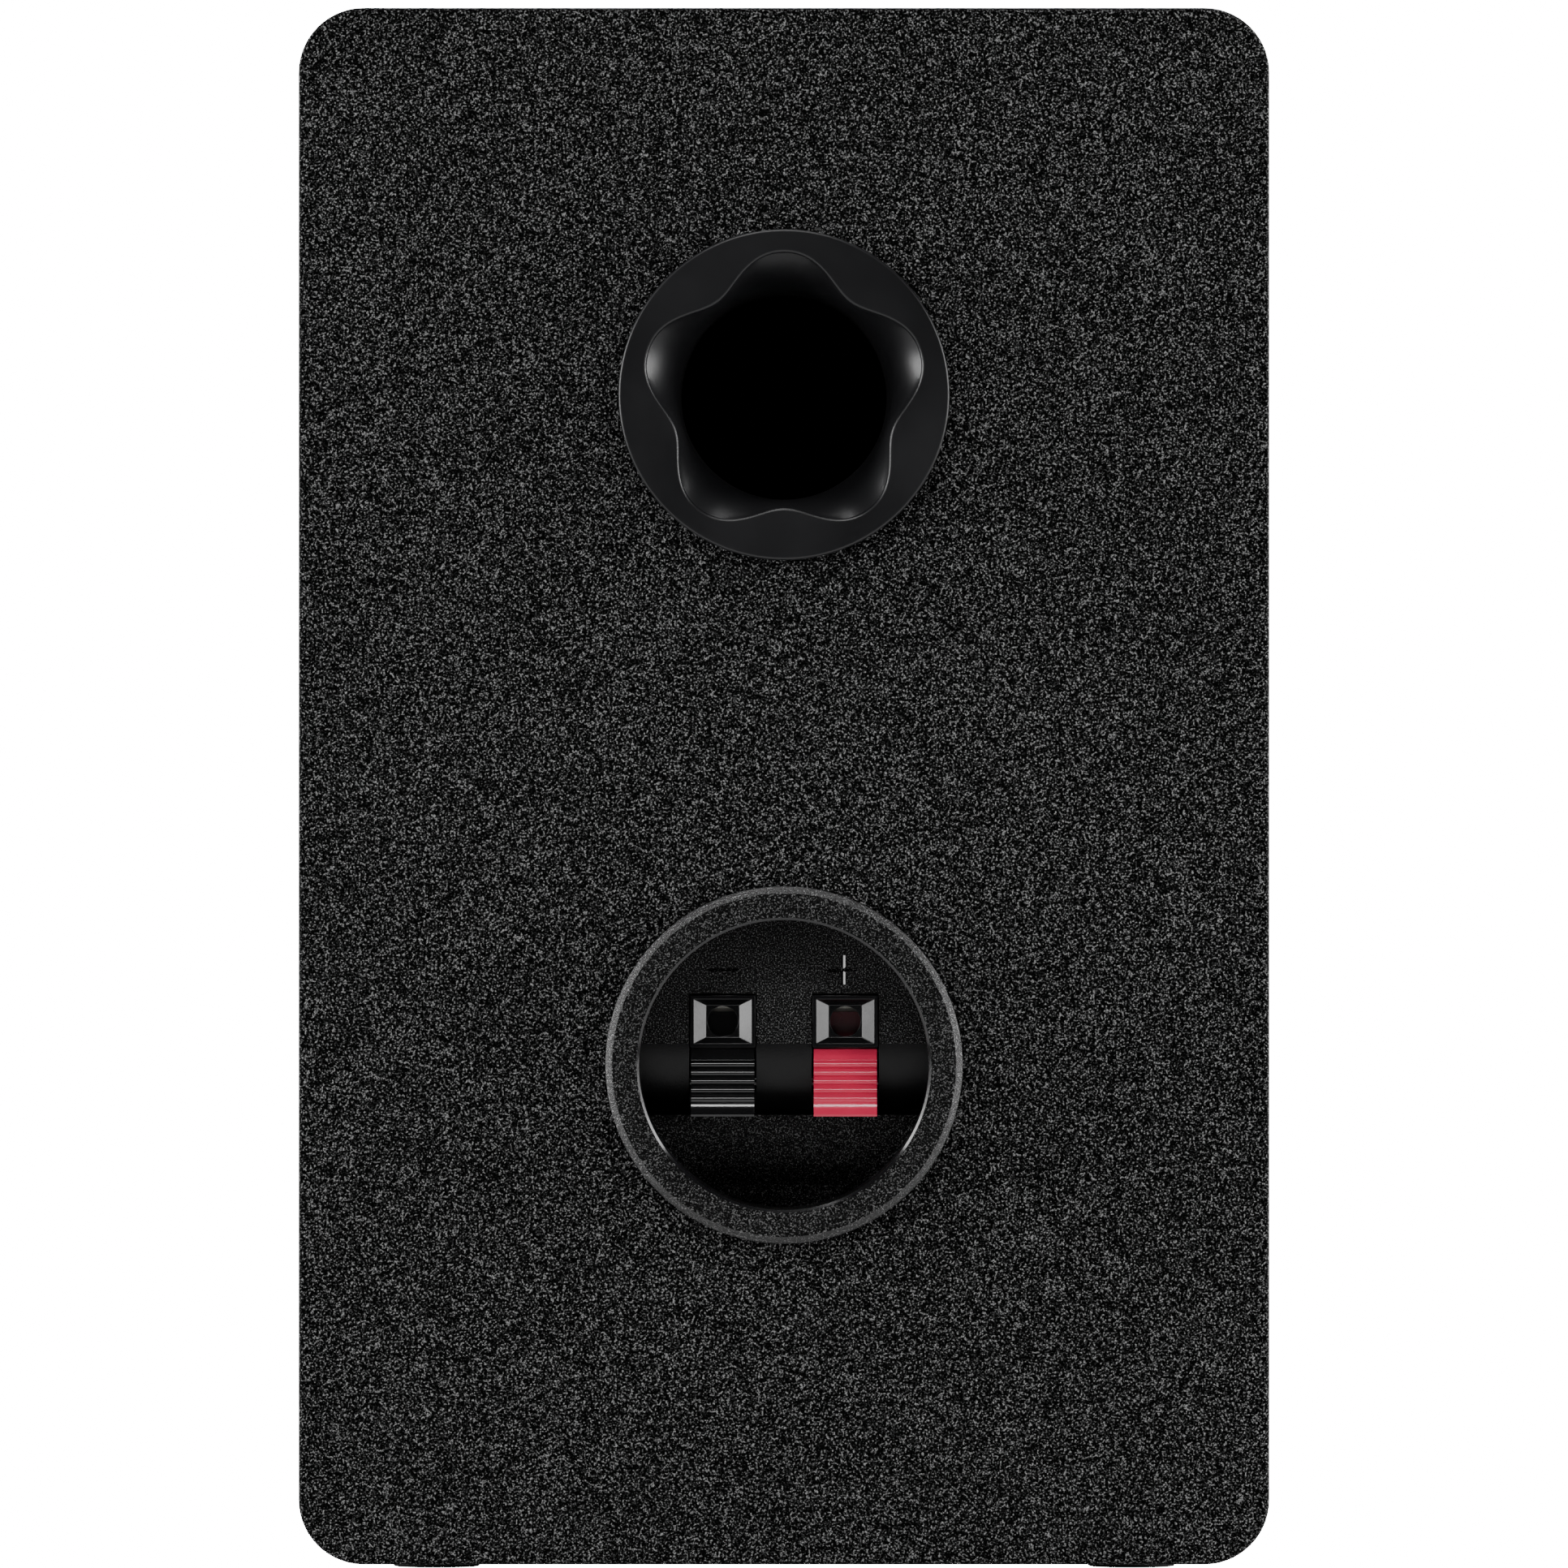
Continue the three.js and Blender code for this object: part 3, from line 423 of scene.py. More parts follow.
def prism(outline, axis, start, end, centre=(0, 0, 0)):
    """An outline in millimetres pushed along X, Y or Z between two distances."""
    place = {
        "X": lambda a, b: (start, a, b),
        "Y": lambda a, b: (a, start, b),
        "Z": lambda a, b: (a, b, start),
    }[axis]
    push = Vector([(end - start) * MM if axis == c else 0 for c in "XYZ"])
    bm = bmesh.new()
    verts = [bm.verts.new(Vector(place(a, b)) * MM) for a, b in outline]
    face = bm.faces.new(verts)
    grown = bmesh.ops.extrude_face_region(bm, geom=[face])["geom"]
    moved = [g for g in grown if isinstance(g, bmesh.types.BMVert)]
    bmesh.ops.translate(bm, verts=moved, vec=push)
    bmesh.ops.translate(bm, verts=bm.verts, vec=centre)
    bmesh.ops.recalc_face_normals(bm, faces=bm.faces)
    return bm


def block(x0, x1, y0, y1, z0, z1, centre=(0, 0, 0)):
    return prism([(x0, z0), (x1, z0), (x1, z1), (x0, z1)], "Y", y0, y1, centre)


def turned(bm, angle, place):
    """Turn a shape about the Y axis, by an angle in degrees, and move it to its place."""
    spin = Matrix.Rotation(math.radians(angle), 4, "Y")
    bmesh.ops.transform(bm, matrix=Matrix.Translation(place) @ spin, verts=bm.verts)
    return bm


def carved(bm, tools, operation="DIFFERENCE"):
    """The body after a boolean with each tool, as a new bmesh."""
    work = to_object(bm, "tool")
    cutters = [to_object(tool, "tool") for tool in tools]
    for cutter in cutters:
        boolean = work.modifiers.new("cut", "BOOLEAN")
        boolean.operation = operation
        boolean.object = cutter
        boolean.solver = "EXACT"
    bpy.context.view_layer.update()
    graph = bpy.context.evaluated_depsgraph_get()
    result = bmesh.new()
    result.from_mesh(work.evaluated_get(graph).to_mesh())
    for old in [work, *cutters]:
        data = old.data
        bpy.data.objects.remove(old)
        bpy.data.meshes.remove(data)
    return result


def soften(made, width, segments=2, angle=40):
    """A small live bevel on the real edges, placed before the weighted normals."""
    bevel = made.modifiers.new("edge", "BEVEL")
    bevel.width = width * MM
    bevel.segments = segments
    bevel.limit_method = "ANGLE"
    bevel.angle_limit = math.radians(angle)
    made.modifiers.move(len(made.modifiers) - 1, 0)


# %% [markdown]
# ## The cabinet's wrap
#
# The vinyl is one sheet folded round the box and turned over its front and rear edges,
# so no joint shows between the panels. It is lofted as one skin: a loop at each step of
# the small front and rear roundings. The two flat boards have round holes for the port,
# the cup and the drivers, and the plain inside of the box closes the shape.


# %% Cabinet
CORNER = 0.0104  # the radius of the four long edges
EDGE = 0.0008  # the radius of the front and rear edges
PORT_HOLE, CUP_HOLE, WOOFER_HOLE, TWEETER_HOLE = 24.4, 25.0, 47.7, 28.6  # radii


def wrap_loop(inset, y, steps=14):
    half_w = WIDTH / 2
    half_h = HEIGHT / 2
    points = []
    for sx, sz, start in ((1, 1, 0), (-1, 1, 90), (-1, -1, 180), (1, -1, 270)):
        cx = sx * (half_w - CORNER)
        cz = MIDDLE_Z + sz * (half_h - CORNER)
        for x, z in arc_points((cx, cz), CORNER - inset, start, start + 90, steps):
            points.append((x, y, z))
    return points


def hole_loop(centre, radius, y, steps=96):
    return [
        (x + centre.x, y, z)
        for x, z in arc_points((0, centre.z), radius * MM, 0, 360, steps)[:-1]
    ]


def ring_of(bm, points):
    verts = [bm.verts.new(p) for p in points]
    edges = [bm.edges.new((verts[i], verts[(i + 1) % len(verts)])) for i in range(len(verts))]
    return verts, edges


def inner_ring(bm, y):
    """The inside of the box: a plain rectangle, one wall in from the outside."""
    x = WIDTH / 2 - WALL
    z = HEIGHT / 2 - WALL
    corners = ((x, z), (-x, z), (-x, -z), (x, -z))
    return ring_of(bm, [(a, y, MIDDLE_Z + b) for a, b in corners])


def pierced_face(bm, outline, y, inner_y, holes):
    """A board with round holes, from its outer face at y to its inner face at inner_y."""
    outer_edges = list(outline)
    ring = inner_ring(bm, inner_y)[1]
    inner_edges = list(ring)
    for centre, radius in holes:
        edges = ring_of(bm, hole_loop(centre, radius, y))[1]
        outer_edges += edges
        wall = bmesh.ops.extrude_edge_only(bm, edges=edges)["geom"]
        moved = [g for g in wall if isinstance(g, bmesh.types.BMVert)]
        bmesh.ops.translate(bm, verts=moved, vec=(0, inner_y - y, 0))
        inner_edges += {e for v in moved for e in v.link_edges if e.other_vert(v) in moved}
    bmesh.ops.triangle_fill(bm, use_beauty=True, edges=outer_edges)
    bmesh.ops.triangle_fill(bm, use_beauty=True, edges=inner_edges)
    return ring


def cabinet_wrap():
    turn = [math.radians(90 * k / 5) for k in range(6)]
    rear = [(EDGE * (1 - math.sin(a)), REAR_Y - EDGE * (1 - math.cos(a))) for a in turn]
    front = [(inset, FRONT_Y + REAR_Y - y) for inset, y in reversed(rear)]
    bm = bmesh.new()
    rings = [ring_of(bm, wrap_loop(inset, y))[1] for inset, y in rear + front]
    for first, second in zip(rings, rings[1:]):
        bmesh.ops.bridge_loops(bm, edges=first + second)
    rear_holes = ((PORT, PORT_HOLE), (CUP, CUP_HOLE))
    front_holes = ((WOOFER, WOOFER_HOLE), (TWEETER, TWEETER_HOLE))
    back = pierced_face(bm, rings[0], REAR_Y, rear_low.y, rear_holes)
    baffle = pierced_face(bm, rings[-1], FRONT_Y, baffle_high.y, front_holes)
    bmesh.ops.bridge_loops(bm, edges=back + baffle)
    panels = (
        "front_baffle", "rear_panel", "top_panel",
        "left_side_panel", "bottom_panel", "right_side_panel",
    )
    finish_piece("cabinet_wrap", bm, vinyl, "cabinet", panels)


cabinet_wrap()

# %% [markdown]
# ## The reflex port
#
# The mouth of the port is a star with five soft lobes, and it narrows in a smooth flare
# to a round throat. The shape slows the air at the mouth. One profile runs up the outside
# of the neck, over the flange and down the flare, and is spun. Then the mouth is pulled
# in between its lobes, and less so with depth, so that the throat stays round.


# %% Port
PORT_FLANGE = 26.4
THROAT = 16.5
FLARE_DEPTH = 16
FLARE_POWER = 3.2  # how late the flare opens: a higher power keeps it narrow for longer
LOBES = 5
LOBE_TIP = 22.6
LOBE_DIP = 4.6  # how far the mouth is pulled in between two lobes
LOBE_WIDTH = 1.15  # a higher power makes the lobes wider and the dips between narrower
LIP_Y = 1.4
LIP_RADIUS = 0.6


def flare_share(y):
    """1 at the mouth and 0 at the throat."""
    t = min(max((LIP_Y - y) / FLARE_DEPTH, 0), 1)
    return (1 - t) ** FLARE_POWER


def port_profile():
    depths = [LIP_Y - FLARE_DEPTH * k / 24 for k in range(1, 25)]
    wall = [(THROAT + (LOBE_TIP - THROAT) * flare_share(y), y) for y in depths]
    lip = arc_points((LOBE_TIP + LIP_RADIUS, LIP_Y), LIP_RADIUS, 90, 180, 6)
    rim = rounded([(24, 0.1), (PORT_FLANGE, 0.1), (PORT_FLANGE, 2), (23.9, 2)], 0.5)
    neck = [(THROAT, -28), (THROAT + 1.5, -28), (THROAT + 1.5, -13), (24, -8)]
    return neck + rim + lip + wall


def port_flare():
    bm = spun(port_profile(), PORT, 240)
    for vertex in bm.verts:
        spoke = vertex.co - PORT
        radius = math.hypot(spoke.x, spoke.z)
        if radius < (LOBE_TIP + LIP_RADIUS + 0.1) * MM:
            angle = math.atan2(spoke.z, spoke.x)
            dip = LOBE_DIP * ((1 - math.cos(LOBES * (angle - math.pi / 2))) / 2) ** LOBE_WIDTH
            shrink = 1 - dip * MM * flare_share(spoke.y / MM) / radius
            vertex.co.x = PORT.x + spoke.x * shrink
            vertex.co.z = PORT.z + spoke.z * shrink
    finish_piece("port_mouth", bm, satin_plastic, "cabinet", ["port_flare"])


port_flare()
tube = spun([(18.1, -105), (19.6, -105), (19.6, -14), (18.1, -14)], PORT)
finish_piece("port_duct", tube, satin_plastic, "cabinet", ["port_tube"])

# %% [markdown]
# ## The terminal cup
#
# The cup is one moulding: a flat flange with a bevelled rim, and a round recess with an
# upper face, a curved step that falls back behind the levers, and a lower face. Cutting
# it from a turned blank, as a mould maker would cut the steel, keeps every wall closed.
# A plus and a minus are sunk into the upper face. The cup carries no words.

# %% Cup
CUP_BORE = 23.1
CLIP_X = (-9.8, 9.8)


def cup_side():
    """The recess from the side, as (y, z) from the cup's centre."""
    step = [
        (-5 - 7.6 * (1 - math.cos(math.radians(a))), 3.3 - 10.9 * math.sin(math.radians(a)))
        for a in range(0, 91, 9)
    ]
    lower = [(-11.5, -8.2), (-11.9, -12), (-13, -16), (-14.8, -19.5), (-15.4, -26)]
    return [(5, 26), (-5, 26)] + step + lower + [(5, -26)]


def groove(x0, x1, z0, z1):
    """A shallow V groove. It runs up when it is taller than it is wide."""
    if z1 - z0 > x1 - x0:
        middle = (x0 + x1) / 2
        wedge = [(middle - 0.7, -4.8), (middle, -5.2), (middle + 0.7, -4.8)]
        return prism(wedge, "Z", z0, z1, CUP)
    middle = (z0 + z1) / 2
    wedge = [(-4.6, middle - 0.7), (-5.4, middle), (-4.6, middle + 0.7)]
    return prism(wedge, "X", x0, x1, CUP)


def plus_and_minus():
    minus = [groove(7.4, 12.2, 14.8, 15.5)]
    plus = [groove(-11.8, -7.1, 14.75, 15.45), groove(-9.8, -9.1, 12.75, 17.45)]
    return minus + plus


def cup_finish(at, normal):
    """Which finish a face of the cup has: 0 grain, 1 smooth step, 2 polished, 3 rim with a
    painted highlight.
    """
    radius = math.hypot(at.x, at.z)
    if -7.8 < at.z < 3.2 and -12.8 < at.y < -4.9 and abs(normal.x) < 0.3:
        return 1
    if at.z > 12 and -5.35 < at.y < -5.02 and radius < 22 and abs(normal.x) > 0.2:
        return 2
    if radius < 23.6 and at.y > 2.7:
        return 2
    # The bevelled rim: glossier grain, painted lighter as a highlight.
    if radius > 27.3 and at.y > 2.35:
        return 3
    return 0


def terminal_cup():
    outside = [(0, -17), (24.7, -17), (24.7, 0.1), (28.5, 0.1), (28.5, 2.4), (27.4, 3), (0, 3)]
    blank = spun(rounded(outside, 0.2, steps=2), CUP)
    bore = spun([(0, -16), (CUP_BORE, -16), (CUP_BORE, 2.75), (23.5, 3), (23.5, 5), (0, 5)], CUP)
    recess = carved(bore, [prism(cup_side(), "X", -26, 26, CUP)], "INTERSECT")
    tools = [recess]
    for x in CLIP_X:
        tools.append(block(x - 5.35, x + 5.35, -18, 2, -7.9, 11.3, CUP))
    body = carved(blank, tools + plus_and_minus())
    made = finish_piece(
        "terminal_cup_moulding", body, cup_grain, "cabinet", ["terminal_cup"], crease=20
    )
    for finish in (cup_smooth, gloss_black, rim_grain):
        made.data.materials.append(finish)
    for face in made.data.polygons:
        face.material_index = cup_finish((face.center - CUP) / MM, face.normal)
    soften(made, 0.1)


terminal_cup()

# %% [markdown]
# ## Wire entries and levers
#
# Each clip is a glossy square funnel with a round hole, over a ridged finger tab.
# Pressing the tab turns the lever about its back, which lowers the arm behind the hole.
# The wire goes in, and the spring then lifts the arm and grips it. The tabs ride on
# their own bodies, so they turn with their joints.


# %% Clips
PIVOT = (-14.2, -3)  # the levers' pins, as (y, z) from the cup's centre
RIDGES = 5


def wire_entry(name, x, node):
    at = CUP + Vector((x * MM, 0, 6.85 * MM))
    shell = block(-5.2, 5.2, -6.8, -4.4, -4.15, 4.15, at)
    funnel = block(-5.65, 5.65, -5.45, -3.9, -4.05, 4.05)
    narrow = [v for v in funnel.verts if v.co.y < -5 * MM]
    bmesh.ops.scale(funnel, verts=narrow, vec=(2.62 / 5.65, 1, 2.56 / 4.05))
    bmesh.ops.translate(funnel, verts=funnel.verts, vec=at)
    hole = spun([(0, -8), (2.43, -8), (2.43, -5), (0, -5)], at, 64)
    body = carved(shell, [funnel, hole])
    made = finish_piece(name, body, clip_black, "cabinet", [node], crease=18)
    soften(made, 0.05, 2, 20)


def lever_side():
    """The lever from the side, as (y, z) from the cup's centre, with round ridges in front."""
    ridges = []
    for i in range(161):
        t = i / 160
        share = min(max((t - 0.2) / 0.75, 0), 1)
        wave = 1 - abs(math.sin(math.pi * RIDGES * share))
        ridges.append((-4.9 + 3.2 * t**2.2 - 0.5 * wave, 2.4 - 8.8 * t))
    lip = [(-1.6, -7.6), (-1.8, -8.3), (-3.2, -8.3)]
    back = [(-6.2, -7), (-12.5, -6.4), (-15.6, -5.2), (-16.3, -3), (-15.6, -1), (-13, -0.6)]
    arm = [(-10.4, 1.2), (-10.4, 8.35), (-9, 8.35), (-9, 2.2), (-7.5, 2.4)]
    return ridges + lip + back + arm


def clip_lever(name, x, material, shade, body, node):
    """A lever with room for its spring and a pin. Its arm behind the hole has painted shade."""
    solid = prism(lever_side(), "X", x - 5.05, x + 5.05, CUP)
    room = prism(arc_points(PIVOT, 2.7, 0, 360, 32)[:-1], "X", x - 2.8, x + 2.8, CUP)
    pin = prism(arc_points(PIVOT, 1.1, 0, 360, 32)[:-1], "X", x - 5.95, x + 5.95, CUP)
    shaped = carved(carved(solid, [room]), [pin], "UNION")
    made = finish_piece(name, shaped, material, body, [node], crease=50)
    made.data.materials.append(shade)
    # The arm's faces behind the hole get the darker finish: painted shade.
    for face in made.data.polygons:
        if face.center.y < CUP.y - 8.6 * MM and face.center.z > CUP.z + 2.5 * MM:
            face.material_index = 1
    soften(made, 0.3, 3, 60)


wire_entry("wire_funnel_positive", CLIP_X[0], "wire_entry_positive")
wire_entry("wire_funnel_negative", CLIP_X[1], "wire_entry_negative")
clip_lever(
    "finger_tab_positive", CLIP_X[0], gloss_red, deep_red, "lever_positive", "clip_lever_positive"
)
clip_lever(
    "finger_tab_negative", CLIP_X[1], gloss_black, gloss_black,
    "lever_negative", "clip_lever_negative",
)

# %% [markdown]
# ## Round drivers
#
# The front is made of turned pieces. The basket is one pressing with six windows, and
# the faceplate of the tweeter is a shallow dish. Their screws sit in countersinks and
# have cross recesses.


# %% Screws
def screw_sets():
    woofer = [(f"woofer_screw_{i}", WOOFER) for i in range(1, 5)]
    return woofer + [(f"tweeter_screw_{i}", TWEETER) for i in range(1, 4)]


def countersinks(centre, prefix, count):
    tools = []
    for i in range(1, count + 1):
        at = centre_of(f"{prefix}_{i}")
        profile = [(0, -4), (3.1, -4), (3.1, -2.1), (2, -0.8), (2, 12), (0, 12)]
        tools.append(spun(profile, Vector((at.x, centre.y, at.z)), 32))
    return tools


def screw(node, centre, turn):
    at = centre_of(node)
    low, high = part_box(node)
    length = (high.y - low.y) / MM
    top = (low.y - centre.y) / MM
    place = Vector((at.x, centre.y, at.z))
    shank = []
    for k in range(int(length - 5)):
        y = top + 2.4 + k
        shank += [(1.7, y), (1.3, y + 0.5)]
    profile = [(0, top), (2.7, top), (2.8, top + 0.3), (1.5, top + 1.5)]
    profile += shank + [(0.2, top + length)]
    head = spun(profile + [(0, top + length)], place, 32)
    cross = []
    for extra in (0, 90):
        bar = block(-1.5, 1.5, top - 0.5, top + 0.9, -0.28, 0.28)
        cross.append(turned(bar, turn + extra, place))
    finish_piece(node + "_head", carved(head, cross), screw_steel, "cabinet", [node])


for node, centre in screw_sets():
    screw(node, centre, random.uniform(0, 90))

# %% [markdown]
# ### Woofer
#
# The surround is a rubber half-roll. Its outer edge is glued to the basket and its inner
# edge to the cone, so it bends when the cone moves.


# %% Placing round pieces
def blend_round(made):
    """Bake the place of a round piece that bends into its mesh."""
    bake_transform(made)


# %% Woofer frame and moving parts
CONE_RIM = 31.5
COIL_RADIUS = 12.95


def woofer_frame():
    profile = [
        (46.2, -3), (54.4, -3), (55, -2.4), (55, -0.85), (47.3, -0.85), (47.3, 3.2),
        (43.6, 6), (38.6, 24), (38.6, 29.6), (34.6, 33.9), (16, 33.9), (16, 32.3),
        (33.2, 32.3), (33.2, 27.9), (36.9, 27.9), (36.9, 24), (42.4, 6.2), (42.4, 1.6),
        (46.2, 1.6),
    ]
    blank = spun(rounded(profile, 0.3, closed=True, steps=3), WOOFER)
    windows = [
        turned(block(-12.5, 12.5, 9, 21.5, 30, 50), 60 * k, WOOFER) for k in range(6)
    ]
    body = carved(blank, windows + countersinks(WOOFER, "woofer_screw", 4))
    finish_piece("woofer_frame", body, driver_frame, "cabinet", ["woofer_basket"])


def woofer_roll():
    outer = arc_points((38.6, 1.1), 4.2, 180, 360, 20)
    inner = arc_points((38.6, 1.1), 3.4, 360, 180, 20)
    profile = outer + [(46, 0.7), (46, 1.5)] + inner
    made = finish_piece(
        "woofer_roll", spun(profile, WOOFER, 144), soft_rubber, None, ["woofer_surround"]
    )
    blend_round(made)


def cone_depth(radius):
    """The cone's front face: nearly a straight cone, from its rim in to the coil."""
    share = max((CONE_RIM - radius) / (CONE_RIM - COIL_RADIUS), 0)
    return 2 + 16.6 * share**1.2


def woofer_cone():
    radii = [31.3 - 18.35 * k / 60 for k in range(61)]
    ripple = [0.12 * math.cos(2 * math.pi * (r - 13) / 3.6) for r in radii]
    front = [(r, cone_depth(r) - 0.05 + w) for r, w in zip(radii, ripple)]
    back = [(r + 0.25, cone_depth(r) + 0.85 + w) for r, w in zip(radii, ripple)]
    rim = [(31.4, 1.1), (34.4, 1.1), (34.4, 2.1)]
    profile = list(reversed(front)) + rim + back
    bm = spun(profile, WOOFER, 144)
    finish_piece("woofer_diaphragm", bm, cone_paper, "woofer_moving", ["woofer_cone"])


def dome(name, centre, radius, base, rise, wall, material, body, node):
    """A thin cap that bulges towards -Y, as a spherical shell."""
    sphere = (radius**2 + rise**2) / (2 * rise)
    reach = math.degrees(math.asin(radius / sphere))
    middle = base - rise + sphere
    angles = [math.radians(reach * k / 24) for k in range(25)]
    outer = [(sphere * math.sin(a), middle - sphere * math.cos(a)) for a in angles]
    thin = sphere - wall
    inner = [(thin * math.sin(a), middle - thin * math.cos(a)) for a in reversed(angles)]
    finish_piece(name, spun(outer + inner, centre, 96), material, body, [node])


woofer_frame()
woofer_roll()
woofer_cone()
dome("woofer_cap", WOOFER, 16.6, cone_depth(16.6) - 1.1, 6.2, 0.7,
     cone_paper, "woofer_moving", "dust_cap")

# %% [markdown]
# ### Spider
#
# The spider is a corrugated cloth disc behind the cone. It keeps the coil centred in its
# gap. It is cloth, so it bends when the cone moves.


# %% Spider
def spider():
    low = []
    for k in range(81):
        share = k / 80
        wave = -0.65 + 0.65 * math.cos(2 * math.pi * 3 * share)
        low.append((16 + 17.4 * share, 27.2 + wave))
    low = [(COIL_RADIUS, 27.2)] + low + [(36.6, 27.2)]
    high = [(r, y + 0.6) for r, y in reversed(low)]
    bm = spun(low + high, WOOFER, 96)
    made = finish_piece("woofer_centring_cloth", bm, spider_cloth, None, ["woofer_spider"])
    blend_round(made)


spider()

# %% [markdown]
# ### Tweeter
#
# The faceplate dips towards the dome, which spreads the treble. The dome is coated silk,
# and its narrow half-roll joins it to the plate behind. The roll has a flat lip round
# the dome's edge, which hides the coil.


# %% Tweeter
def tweeter_plate():
    dish = []
    for k in range(25):
        t = k / 24
        dish.append((16.2 + 12.8 * t, 0.8 - 3.8 * math.sin(math.radians(90 * t))))
    rim = rounded([(29, -3), (35.6, -3), (36, -2.5), (36, -0.05), (28.3, -0.05)], 0.25)
    profile = dish + rim[1:] + [(28.3, 4), (16.2, 4)]
    blank = spun(profile, TWEETER)
    body = carved(blank, countersinks(TWEETER, "tweeter_screw", 3))
    finish_piece("tweeter_plate", body, satin_plastic, "cabinet", ["tweeter_faceplate"])


def tweeter_roll():
    outer = arc_points((14.7, 3), 1.35, 180, 360, 14)
    inner = arc_points((14.7, 3), 0.9, 360, 180, 14)
    lip = [(13.8, 3.25), (12.95, 3.25), (12.95, 2.9)]
    profile = outer + [(16.05, 4), (15.6, 4)] + inner + lip
    bm = spun(profile, TWEETER, 96)
    made = finish_piece("tweeter_roll", bm, dome_silk, None, ["tweeter_surround"])
    blend_round(made)


tweeter_plate()
tweeter_roll()
dome("tweeter_diaphragm", TWEETER, 12.9, 2.6, 4.9, 0.5,
     dome_silk, "tweeter_moving", "tweeter_dome")

# %% [markdown]
# ## Feet
#
# Each foot is a die-cut rubber disc with a slightly rounded edge, glued to the base.

# %% Feet
for corner in ("front_left", "front_right", "rear_left", "rear_right"):
    node = f"foot_{corner}"
    low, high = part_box(node)
    radius = (high.x - low.x) / 2 / MM
    tall = (high.z - low.z) / MM
    outline = rounded([(0, 0), (radius, 0), (radius, tall), (0, tall)], 0.35)
    pad = spun(outline, (0, 0, 0), 64)
    upright = Matrix.Translation(((low.x + high.x) / 2, (low.y + high.y) / 2, low.z))
    turn = Matrix.Rotation(math.radians(90), 4, "X")
    bmesh.ops.transform(pad, matrix=upright @ turn, verts=pad.verts)
    finish_piece(f"foot_pad_{corner}", pad, foot_rubber, "cabinet", [node])

# %% [markdown]
# ## Inside: leads and wadding
#
# The leads are two-core flex, drawn as a pair of insulated cores along the same route as
# the CAD solids. The wadding is a batt of loose fibre, so its faces swell and dip.

# %% Leads
ROUTES = {
    "input_lead": [
        (0, 70, 90), (0, 63, 86), (0, 60, 72), (0, 61, 50), (-1, 63, 32), (-2, 61, 23),
    ],
    "woofer_lead": [
        (-4, 10, 23), (-4, 0, 25), (-2, -20, 27), (0, -42, 31), (0, -55, 36), (0, -57.5, 39),
    ],
    "tweeter_lead": [
        (-36, 16, 23), (-42, 8, 40), (-44, 0, 90), (-43, -6, 140),
        (-34, -28, 165), (-16, -48, 170), (-3, -62, 166),
    ],
}


def smooth_route(points, steps=12):
    """A Catmull-Rom path through the points, in metres."""
    known = [Vector(p) * MM for p in points]
    padded = [known[0] * 2 - known[1], *known, known[-1] * 2 - known[-2]]
    path = []
    for a, b, c, d in zip(padded, padded[1:], padded[2:], padded[3:]):
        for k in range(steps):
            t = k / steps
            path.append(
                0.5 * (2 * b + (c - a) * t + (2 * a - 5 * b + 4 * c - d) * t**2
                       + (3 * b - a - 3 * c + d) * t**3)
            )
    return path + [known[-1]]


CORE_RADIUS = 0.00105
CORE_OFFSET = 1.03  # in core radii; the two cores stay just apart


def core(bm, path, side, sides=12):
    """One insulated core beside the route."""
    across = Vector((0.3, 0.2, 1)).cross(path[-1] - path[0]).normalized()
    spokes = [2 * math.pi * k / sides for k in range(sides)]
    rings = []
    for i, at in enumerate(path):
        along = (path[min(i + 1, len(path) - 1)] - path[max(i - 1, 0)]).normalized()
        right = along.cross(across).normalized()
        up = right.cross(along)
        middle = at + up * side * CORE_RADIUS * CORE_OFFSET
        around = [
            middle + (up * math.cos(a) + right * math.sin(a)) * CORE_RADIUS for a in spokes
        ]
        rings.append(ring_of(bm, around))
    for (_, first), (_, second) in zip(rings, rings[1:]):
        bmesh.ops.bridge_loops(bm, edges=first + second)
    for verts, _ in (rings[0], rings[-1]):
        bm.faces.new(verts)


for name, points in ROUTES.items():
    flex = bmesh.new()
    route = smooth_route(points)
    core(flex, route, 1)
    core(flex, route, -1)
    finish_piece(f"{name}_cores", flex, lead_jacket, "cabinet", [name])


# %% Wadding
def batt(node):
    """A block with rounded sides, swollen here and there, inside its node's box."""
    low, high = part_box(node)
    bm = bmesh.new()
    bmesh.ops.create_cube(bm, size=1)
    bmesh.ops.subdivide_edges(bm, edges=bm.edges, cuts=23, use_grid_fill=True)
    size = high - low
    middle = (low + high) / 2
    for vertex in bm.verts:
        co = vertex.co
        edge = max(abs(co.x), abs(co.y), abs(co.z))
        round_off = 1 - 0.25 * max(abs(co.y) * 2, abs(co.z) * 2) ** 8
        swell = noise.noise(co * 6 + Vector((3, 1, low.x * 50))) * 0.12
        co.x = co.x * round_off * (0.86 + swell)
        co.y *= 0.97 - 0.03 * edge + swell * 0.02
        co.z *= 0.97 - 0.03 * edge + swell * 0.02
        vertex.co = Vector([c * s for c, s in zip(co, size)]) + middle
    made = finish_piece(f"{node}_batt", bm, wadding_cloth, "cabinet", [node], crease=80)


batt("wadding_left")
batt("wadding_right")

# %% [markdown]
# ## Floor and light
#
# The picture has a white backdrop with even light from both sides and a little from
# above. Black plastic only shows what it reflects, so the lights are large soft panels
# at the sides, which give the bevels their bright left and right edges. The backdrop is
# white for the camera and dimmer for the speaker, as in a studio where the backdrop is
# behind the object.


# %% Floor
FLOOR_GLOW = 20.0  # for the camera only
BACKDROP_GLOW = 18.0  # for the camera
ROOM_GLOW = 0.05  # the same backdrop, for the speaker


